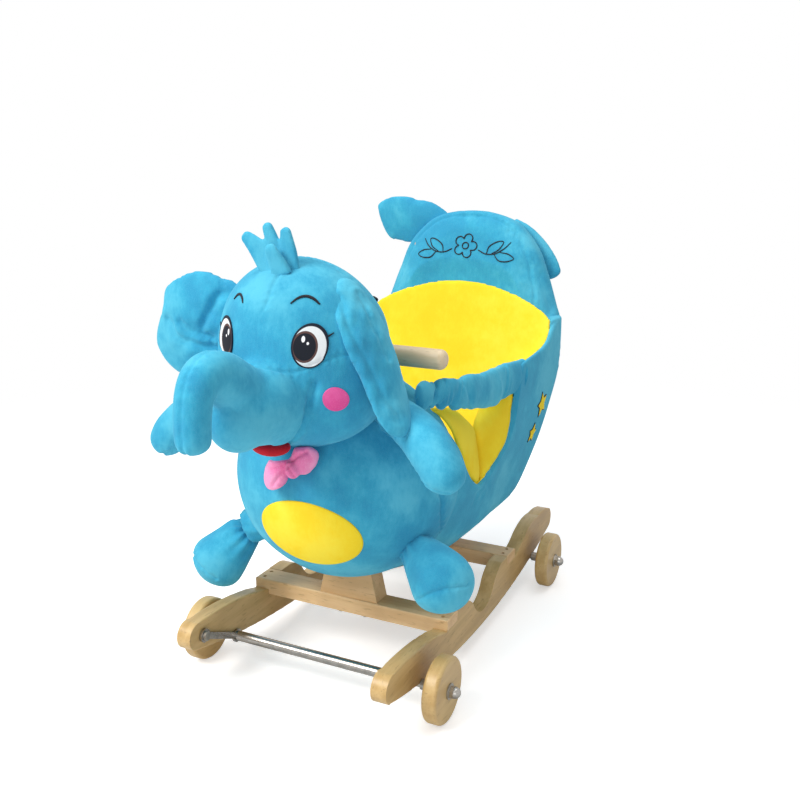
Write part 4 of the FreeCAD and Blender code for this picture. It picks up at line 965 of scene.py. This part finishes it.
def makeSlab(name, slab):
    # A rounded block: superellipse rings by height, drawn in above and below, narrower at the foot.
    low, high, front, rear, half = (slab[key] for key in ("low", "high", "front", "rear", "halfWidth"))
    lift = np.linspace(-np.pi / 2 + 0.02, np.pi / 2 - 0.02, 30)[:, None]
    cosine, sine = ovalPower(ringTurns(120)[None, :], slab["power"])
    bulge = np.sign(np.sin(lift)) * np.abs(np.sin(lift)) ** 0.8
    z = (low + high) / 2 + (high - low) / 2 * bulge + 0 * cosine
    ring = np.abs(np.cos(lift)) ** 0.35 * (1 - slab["taper"] * (high - z) / (high - low))
    x = half * ring * cosine
    y = (front + rear) / 2 + (rear - front) / 2 * ring * sine
    deep = (2 * y - front - rear) / (rear - front)
    inside = np.clip(1 - (x / half) ** 2, 0, 1) * np.clip(1 - deep ** 2, 0, 1)
    z = z + slab["crown"] * inside * (np.sin(lift) > 0)
    return makeObject(name, [solidPart(np.stack([x, y, z], axis=-1))])


base = {"halfWidth": 104, "front": -76, "rear": 138, "low": 116, "high": 176, "power": 5, "crown": 0.0,
        "taper": 0.34}
seatBottom = makeSlab("seatBottom", base)
dress(seatBottom, bluePlush, ["seat_base"])

cushion = {"halfWidth": 99, "front": -72, "rear": 148, "low": 179, "high": 203, "power": 6, "crown": 7,
           "taper": 0.0, "skin": (5.0, 2), "air": (4.0, 9.0), "fine": True}
seatCushion = makeSlab("seatCushion", cushion)
soften(seatCushion, cushion)
dress(seatCushion, yellowPlush, ["seat_cushion"])
print("cushion done")

lining = {"thick": 6, "floor": 178, "under": 2, "thinnest": 6.5, "thicker": 12.5,
          "arch": 419, "archFoot": 376, "archHalf": 136, "skin": (3.0, 2), "uneven": (1.2, 80, 71)}


def archTop(x):
    # The lining's top edge behind: a flattened half oval over the rim.
    reach = np.clip(np.abs(x) / lining["archHalf"], 0, 1)
    return lining["archFoot"] + (lining["arch"] - lining["archFoot"]) * (1 - reach ** 2.0) ** 0.8


def makeLining():
    # The shell's inside once more, a layer nearer; behind, it climbs the leaning board to an arch.
    low, high, top, edgeX, edgeY = tubStations(130)
    share = np.linspace(0, 1, 60)[None, :]
    behind = smooth(0, 1, edgeY - leanAt(top))
    height = (top - lining["under"]) * (1 - behind) + archTop(edgeX) * behind
    z = lining["floor"] + (height - lining["floor"]) * share
    x, y = wellWall(edgeX, edgeY, top - tub["round"], z, 5)
    outerX, outerY = tubOuter(low + (high - low) * share, z)
    # how far inside the shell's outer face: further below, close to it at the rim
    thin = lining["thinnest"] + lining["thicker"] * (1 - smooth(top - 34, top - 2, z))
    inside = np.stack([np.minimum(x, outerX - thin), np.minimum(y, outerY - thin) - 2, z], axis=-1)
    grid = np.concatenate([inside, inside[::-1][1:] * (-1, 1, 1)], axis=0)
    back = grid.copy()
    square = smooth(-12, 4, grid[..., 1] - leanAt(grid[..., 2]) + 4)
    near = 1 - 0.4 * share ** 4
    back[..., 0] += lining["thick"] * near * np.sign(grid[..., 0]) * (1 - square)
    back[..., 1] += lining["thick"] * square
    roll = (grid[:, -1:] + back[:, -1:]) / 2 + np.array([0, 0, 2.0])
    profile = np.concatenate([grid, roll, back[:, ::-1]], axis=1)
    piece = makeObject("wellLining", [solidPart(profile)])
    soften(piece, lining)
    return piece


dress(makeLining(), yellowPlush, ["lining_left", "lining_right", "lining_back"])
print("lining done")

# Padding round each leg hole: every pad's two edges, and its depth towards the outside and the well.
holePads = {
    "holeFront": {"one": [(90, -106, 322), (104, -90, 317), (114, -74, 296), (119, -60, 265), (120, -45, 236),
                          (119, -16, 212)],
                  "two": [(100, -42, 309), (107, -22, 292), (109, 5, 272), (110, 13, 246), (112, 13, 223),
                          (116, 6, 205)],
                  "thick": 8, "behind": 4, "skin": (2.6, 2), "uneven": (0.8, 34, 75)},
    "holeRear": {"one": [(104, 66, 325), (106, 42, 300), (109, 13, 275), (110, 18, 246), (112, 19, 222),
                         (117, 12, 203)],
                 "two": [(134, 94, 336), (133, 80, 308), (132, 80, 276), (131, 62, 247), (128, 36, 227),
                         (120, 12, 205)],
                 "thick": 9, "behind": 8, "skin": (2.6, 2), "uneven": (0.8, 34, 75)},
}


def makePad(name, pad, side):
    # Cross sections from one edge to the other: superellipses, as deep in front and behind as named.
    share = easedRows(70)
    one, two = spline(flipped(pad["one"], side), share), spline(flipped(pad["two"], side), share)
    middle, reach = (one + two) / 2, (two - one) / 2
    up = unit(np.cross(unit(np.gradient(middle, axis=0)), reach))
    up = up * np.sign(up[:, :1] * side)
    cosine, sine = (wave[None, :, None] for wave in ovalPower(ringTurns(48), 2.3))
    size = np.sqrt(np.clip(1 - (2 * share - 1) ** 8, 0.02, 1))[:, None, None]
    thick = np.where(sine > 0, pad["thick"], pad["behind"])
    grid = middle[:, None] + reach[:, None] * cosine * size ** 0.3 + up[:, None] * sine * thick * size
    piece = makeObject(name, [solidPart(grid)])
    soften(piece, pad)
    return dress(piece, yellowPlush)


for side, word in sides:
    for name, pad in holePads.items():
        makePad(f"{name}{word}", pad, side)
print("folds done")


hood = {
    # height, half width, depth behind the leaning face
    "levels": [(362, 138, 84), (374, 134, 84), (385, 128, 82), (405, 121, 75), (430, 113, 66), (460, 102, 53),
               (482, 87, 43), (499, 69, 36), (508, 50, 28), (512.5, 29, 18), (514, 10, 9)],
    "seam": [(-117, 388), (-105, 428), (-92, 458), (-77, 481), (-52, 500), (-18, 508), (18, 508), (52, 500),
             (77, 481), (92, 458), (105, 428), (117, 388)],
    "power": 3.8, "skin": (4.5, 3), "air": (3.0, 4.0), "uneven": (1.1, 75, 81), "fine": True, "cut": (1.5, 2.2),
}


def makeHood():
    # Superellipse rings by height, each laid against the leaning face and closing in an arch on top.
    rings = spline(hood["levels"], np.linspace(0, 1, 90))[:, :, None]
    z, half, depth = rings[:, 0], rings[:, 1], rings[:, 2]
    cosine, sine = ovalPower(ringTurns(110)[None, :], hood["power"])
    grid = np.stack([half * cosine, leanAt(z) + depth / 2 * (1 + sine), z + 0 * cosine], axis=-1)
    piece = makeObject("seatHood", [solidPart(grid)])
    soften(piece, hood)
    sew(piece, [[(x, leanAt(z) + 2, z) for x, z in hood["seam"]]], *hood["cut"])
    # behind the lining the front lies flat against the leaning board; above it, it may swell a little
    points = readPoints(piece)
    above = smooth(-4, 44, points[:, 2] - archTop(points[:, 0]))
    points[:, 1] = np.maximum(points[:, 1], leanAt(points[:, 2]) + 2.5 - 8 * above)
    writePoints(piece, points)
    return piece


seatHood = dress(makeHood(), bluePlush, ["backrest"])

flaps = {
    "flapRight": {"line": [(-44, 278, 494, 15, 6.5), (-72, 276.5, 505, 21, 8), (-88, 276, 502, 29, 8.5),
                           (-101, 275.5, 498, 34, 8.5), (-115, 275, 500, 34, 8.5), (-132, 274, 499, 32.5, 8),
                           (-150, 273, 492, 28, 7.5)], "wide": (0.36, 0, 1), "node": "back_flap_right"},
    "flapLeft": {"line": [(46, 290, 492, 17, 6.5), (68, 294, 480, 17.5, 7.5), (88, 296, 462, 17, 7.5),
                          (104, 297, 442, 15.5, 7), (116, 297, 421, 12.5, 6.5)],
                 "wide": (0.78, 0, 0.62), "node": "back_flap_left"},
}
flapPad = {"skin": (3.0, 6), "air": (1.2, 2.5), "uneven": (0.6, 60, 91), "fine": True}
for name, flap in flaps.items():
    pad = makeObject(name, [solidPart(tubeGrid(flap["line"], flap["wide"], 60, 44, 2.4, (5, 6)))])
    soften(pad, flapPad)
    dress(pad, bluePlush, [flap["node"]])

# A flower between two leafy sprigs, sewn in one dark thread on the back rest's front.
flower = {"z": 468, "reach": 17.5, "heart": (4.6, 4.4), "start": 0.3, "hollow": 0.52, "flat": 0.95}
sprig = {"stem": [(20, 463, 1), (32, 458, 1), (46, 459, 1), (58, 466, 0.9), (66, 475, 0.5)],
         "leaf1": [(33, 458, 0.6), (36, 468, 1), (47, 475, 1), (56, 475, 0.6), (51, 465, 1), (41, 459, 0.6)],
         "leaf2": [(44, 458.5, 0.6), (52, 450, 1), (64, 449, 1), (73, 453, 0.6), (65, 459, 1), (53, 461, 0.6)]}


def flowerLines():
    # Five petals: the reach from the middle follows a cosine with five swells a turn, rounded by a power.
    turn = np.linspace(0, 2 * np.pi, 61) + flower["start"]
    swell = np.abs(np.cos(2.5 * turn)) ** 0.6
    reach = flower["reach"] * (flower["hollow"] + (1 - flower["hollow"]) * swell)
    up = reach * flower["flat"] * np.sin(turn)
    petals = np.stack([reach * np.cos(turn), flower["z"] + up, 0 * turn + 1], axis=1)
    turn = turn[::4]
    wide, tall = flower["heart"]
    heart = np.stack([wide * np.cos(turn), flower["z"] + tall * np.sin(turn), 0 * turn + 1], axis=1)
    return {"flower": petals, "flowerHeart": heart}


motif = flowerLines()
for side, word in sides:
    motif[f"stem{word}"] = flipped(sprig["stem"], side)
    for number in (1, 2):
        motif[f"leaf{word}{number}"] = flipped(sprig[f"leaf{number}"], side)
for name, points in motif.items():
    makeStroke(name, points, 0.75, seatHood, 0.5, 0.8, count=121 if name == "flower" else 48)

# Two small felt stars with a dark stitched edge, low on the shell's side towards the rear:
# name, place along and up, size and tilt.
stars = [("starUpper", 180, 266, 19, 0.25), ("starLower", 164, 228, 15, -0.15)]


def starRings(y, z, size, tilt, shares):
    # A five-pointed outline: straight runs between five tips and five hollows.
    corners = np.arange(11) * np.pi / 5 + np.pi / 2 + tilt
    reach = np.where(np.arange(11) % 2, 0.5, 1.0) * size
    run = np.linspace(0, 10, 100, endpoint=False)
    across = np.interp(run, np.arange(11), reach * np.cos(corners))
    up = np.interp(run, np.arange(11), reach * np.sin(corners))
    share = np.asarray(shares)[:, None]
    return np.stack([y + share * across, z + share * up], axis=-1)


for side, word in sides:
    axis = "-x" if side > 0 else "+x"
    for name, y, z, size, tilt in stars:
        outline = starRings(y, z, size, tilt, [0.03, 0.4, 0.8, 1.0])
        dress(badge(f"{name}Edge{word}", outline, 0.5, 0.8, tubSkin, axis), darkThread)
        felt = starRings(y, z, size, tilt, [0.03, 0.3, 0.6, 0.86])
        dress(badge(f"{name}{word}", felt, 1.1, 0.9, tubSkin, axis), yellowPlush)
print("hood done")


strap = {"line": [(136, 106, 322, 18, 6), (134, 90, 324, 18.5, 7), (131, 40, 326, 20, 7.5),
                  (128, 8, 325, 20.5, 7.5), (124, -41, 332, 18.5, 7.5), (117, -83, 339, 16, 7),
                  (110, -110, 344, 14, 6.5), (100, -134, 344, 13, 6)],
         "creases": 27, "depth": 6.5, "swell": 2.0}


def makeStrap(side, word):
    # A flat tube drawn up by elastic: many short sharp creases at odd places, slopes and lengths, each a
    # bell-shaped groove that runs over part of the height, between softly swollen folds.
    rows, cols = 360, 72
    grid = tubeGrid(flipped(strap["line"], side), (0, 0, 1), rows, cols, 2.4, (3, 3))
    outward = unit(grid - grid.mean(axis=1, keepdims=True))
    along = easedRows(rows)[:, None, None]
    around = ringTurns(cols)[None, :, None]
    height = np.cos(around)
    pick = np.random.default_rng(8)
    count = strap["creases"]
    place = 1 - pick.uniform(0, 1, count) ** 1.25 * 0.96
    lean = pick.normal(0, 0.022, count)
    middle = pick.uniform(-1.1, 1.1, count)
    length = pick.uniform(0.5, 1.4, count)
    width = pick.uniform(0.005, 0.019, count)
    deep = pick.uniform(0.35, 1.0, count) * (0.25 + 0.75 * place)
    face = np.where(pick.random(count) < 0.75, 1.0, -1.0)
    facing = 0.5 + 0.5 * np.tanh(3 * face * np.sin(around) * side + 1.5)
    groove = np.exp(-((along - place - lean * height) / width) ** 2 - ((height - middle) / length) ** 4)
    move = -strap["depth"] * np.minimum((groove * deep * facing).sum(axis=2), 1.1)
    rates, starts = pick.uniform(12, 62, 9), pick.uniform(0, 6.3, 9)
    swell = np.sin(along * rates + starts + height * pick.uniform(-1.5, 1.5, 9)).sum(axis=2) / 2.2
    move = (move + strap["swell"] + 0.9 * swell) * smooth(0.0, 0.05, along[..., 0])
    piece = makeObject(f"strap{word}", [solidPart(grid + outward * move[..., None])])
    return dress(piece, bluePlush, [f"strap_{word.lower()}"])


for side, word in sides:
    makeStrap(side, word)
print("straps done")


neck = {"place": -117, "halfWidth": 51, "halfDepth": 33,
        "line": [(326, 1.0), (372, 1.0), (412, 0.95), (436, 0.82), (449, 0.5)]}
neckPlaces = [(0, neck["place"], z, neck["halfWidth"] * share, neck["halfDepth"] * share)
              for z, share in neck["line"]]
neckSkin = makeObject("neckSkin", [solidPart(tubeGrid(neckPlaces, (1, 0, 0), 50, 48, 2.0, (0, 8)))])
press(neckSkin, 0.8, 40, 95)
dress(neckSkin, bluePlush, ["neck"])

zipLine = [(0, -83.0, 354, 4, 1.4), (2, -83.5, 380, 4, 1.4), (10, -84.5, 408, 4, 1.4), (22, -89, 430, 4, 1.4),
           (30, -94, 443, 4, 1.4)]
zipTape = makeObject("zipTape", [solidPart(tubeGrid(zipLine, (1, 0, 0), 60, 20, 3.0, (1, 2)))])
dress(zipTape, zipBlack, ["neck_zip"])
print("neck done")


# The photo's camera, solved from the wooden frame; metres and degrees.
photo = {"place": (0.523285, -1.036106, 0.608474), "tilt": 75.031, "turn": 26.173, "lens": 43.21}
scene = bpy.context.scene
cameraData = bpy.data.cameras.new("photoCamera")
cameraData.lens = photo["lens"]
cameraData.sensor_width = 36
camera = bpy.data.objects.new("photoCamera", cameraData)
camera.location = np.array(photo["place"]) + (0, originShift * 0.001, 0)
camera.rotation_euler = (math.radians(photo["tilt"]), 0, math.radians(photo["turn"]))
scene.collection.objects.link(camera)
scene.camera = camera

floorMesh = bpy.data.meshes.new("paleFloor")
floorMesh.from_pydata([(-3, -3, 0), (3, -3, 0), (3, 3, 0), (-3, 3, 0)], [], [(0, 1, 2, 3)])
floor = bpy.data.objects.new("paleFloor", floorMesh)
scene.collection.objects.link(floor)


def makeFloor():
    # White to the camera, with the toy's shadow kept; it thins out to nothing well away from the toy.
    material = bpy.data.materials.new("floorPale")
    pale = Nodes(material)
    matt = pale.node("ShaderNodeBsdfDiffuse", None, {"Color": (0.8, 0.8, 0.8, 1)})
    glow = pale.node("ShaderNodeEmission", None, {"Strength": 0.5})
    both = pale.node("ShaderNodeAddShader", None, {0: matt, 1: glow})
    seen = pale.pick(pale.ray("Camera"), matt, both)
    reach = pale.node("ShaderNodeVectorMath", {"operation": "LENGTH"}, {0: pale.place()}, "Value")
    clear = pale.node("ShaderNodeBsdfTransparent")
    surface = pale.pick(pale.between(reach, 0.75, 1.5), seen, clear)
    pale.node("ShaderNodeOutputMaterial", None, {"Surface": surface})
    return material


floorMesh.materials.append(makeFloor())

# A soft grey light for the toy, and white for the camera, for mirrors and through glass.
world = bpy.data.worlds.new("studio")
scene.world = world
sky = Nodes(world)
white = sky.node("ShaderNodeBackground", None, {"Color": (1, 1, 1, 1), "Strength": 1.0})
lit = sky.node("ShaderNodeBackground", None, {"Color": (0.96, 0.98, 1.0, 1), "Strength": 0.42})
shown = sky.either(sky.either(sky.ray("Camera"), sky.ray("Glossy")), sky.ray("Transmission"))
sky.node("ShaderNodeOutputWorld", None, {"Surface": sky.pick(shown, lit, white)})

lamps = {
    "keyLamp": {"place": (-0.9, -1.6, 1.9), "size": 1.1, "power": 49, "tint": (1.0, 0.98, 0.95)},
    "fillLamp": {"place": (0.7, -1.9, 0.35), "size": 1.4, "power": 6.5, "tint": (0.95, 0.98, 1.0)},
    "topLamp": {"place": (0.1, 0.3, 2.3), "size": 1.6, "power": 22, "tint": (1.0, 1.0, 1.0)},
}
for name, lamp in lamps.items():
    data = bpy.data.lights.new(name, "AREA")
    data.size = lamp["size"]
    data.energy = lamp["power"]
    data.color = lamp["tint"]
    light = bpy.data.objects.new(name, data)
    light.location = lamp["place"]
    x, y, z = np.array(lamp["place"]) - (0, 0, 0.25)  # every lamp looks at the toy's middle
    light.rotation_euler = (math.acos(z / math.hypot(x, y, z)), 0, math.atan2(y, x) + math.pi / 2)
    scene.collection.objects.link(light)

scene.view_settings.view_transform = "Standard"

print("scene ready")
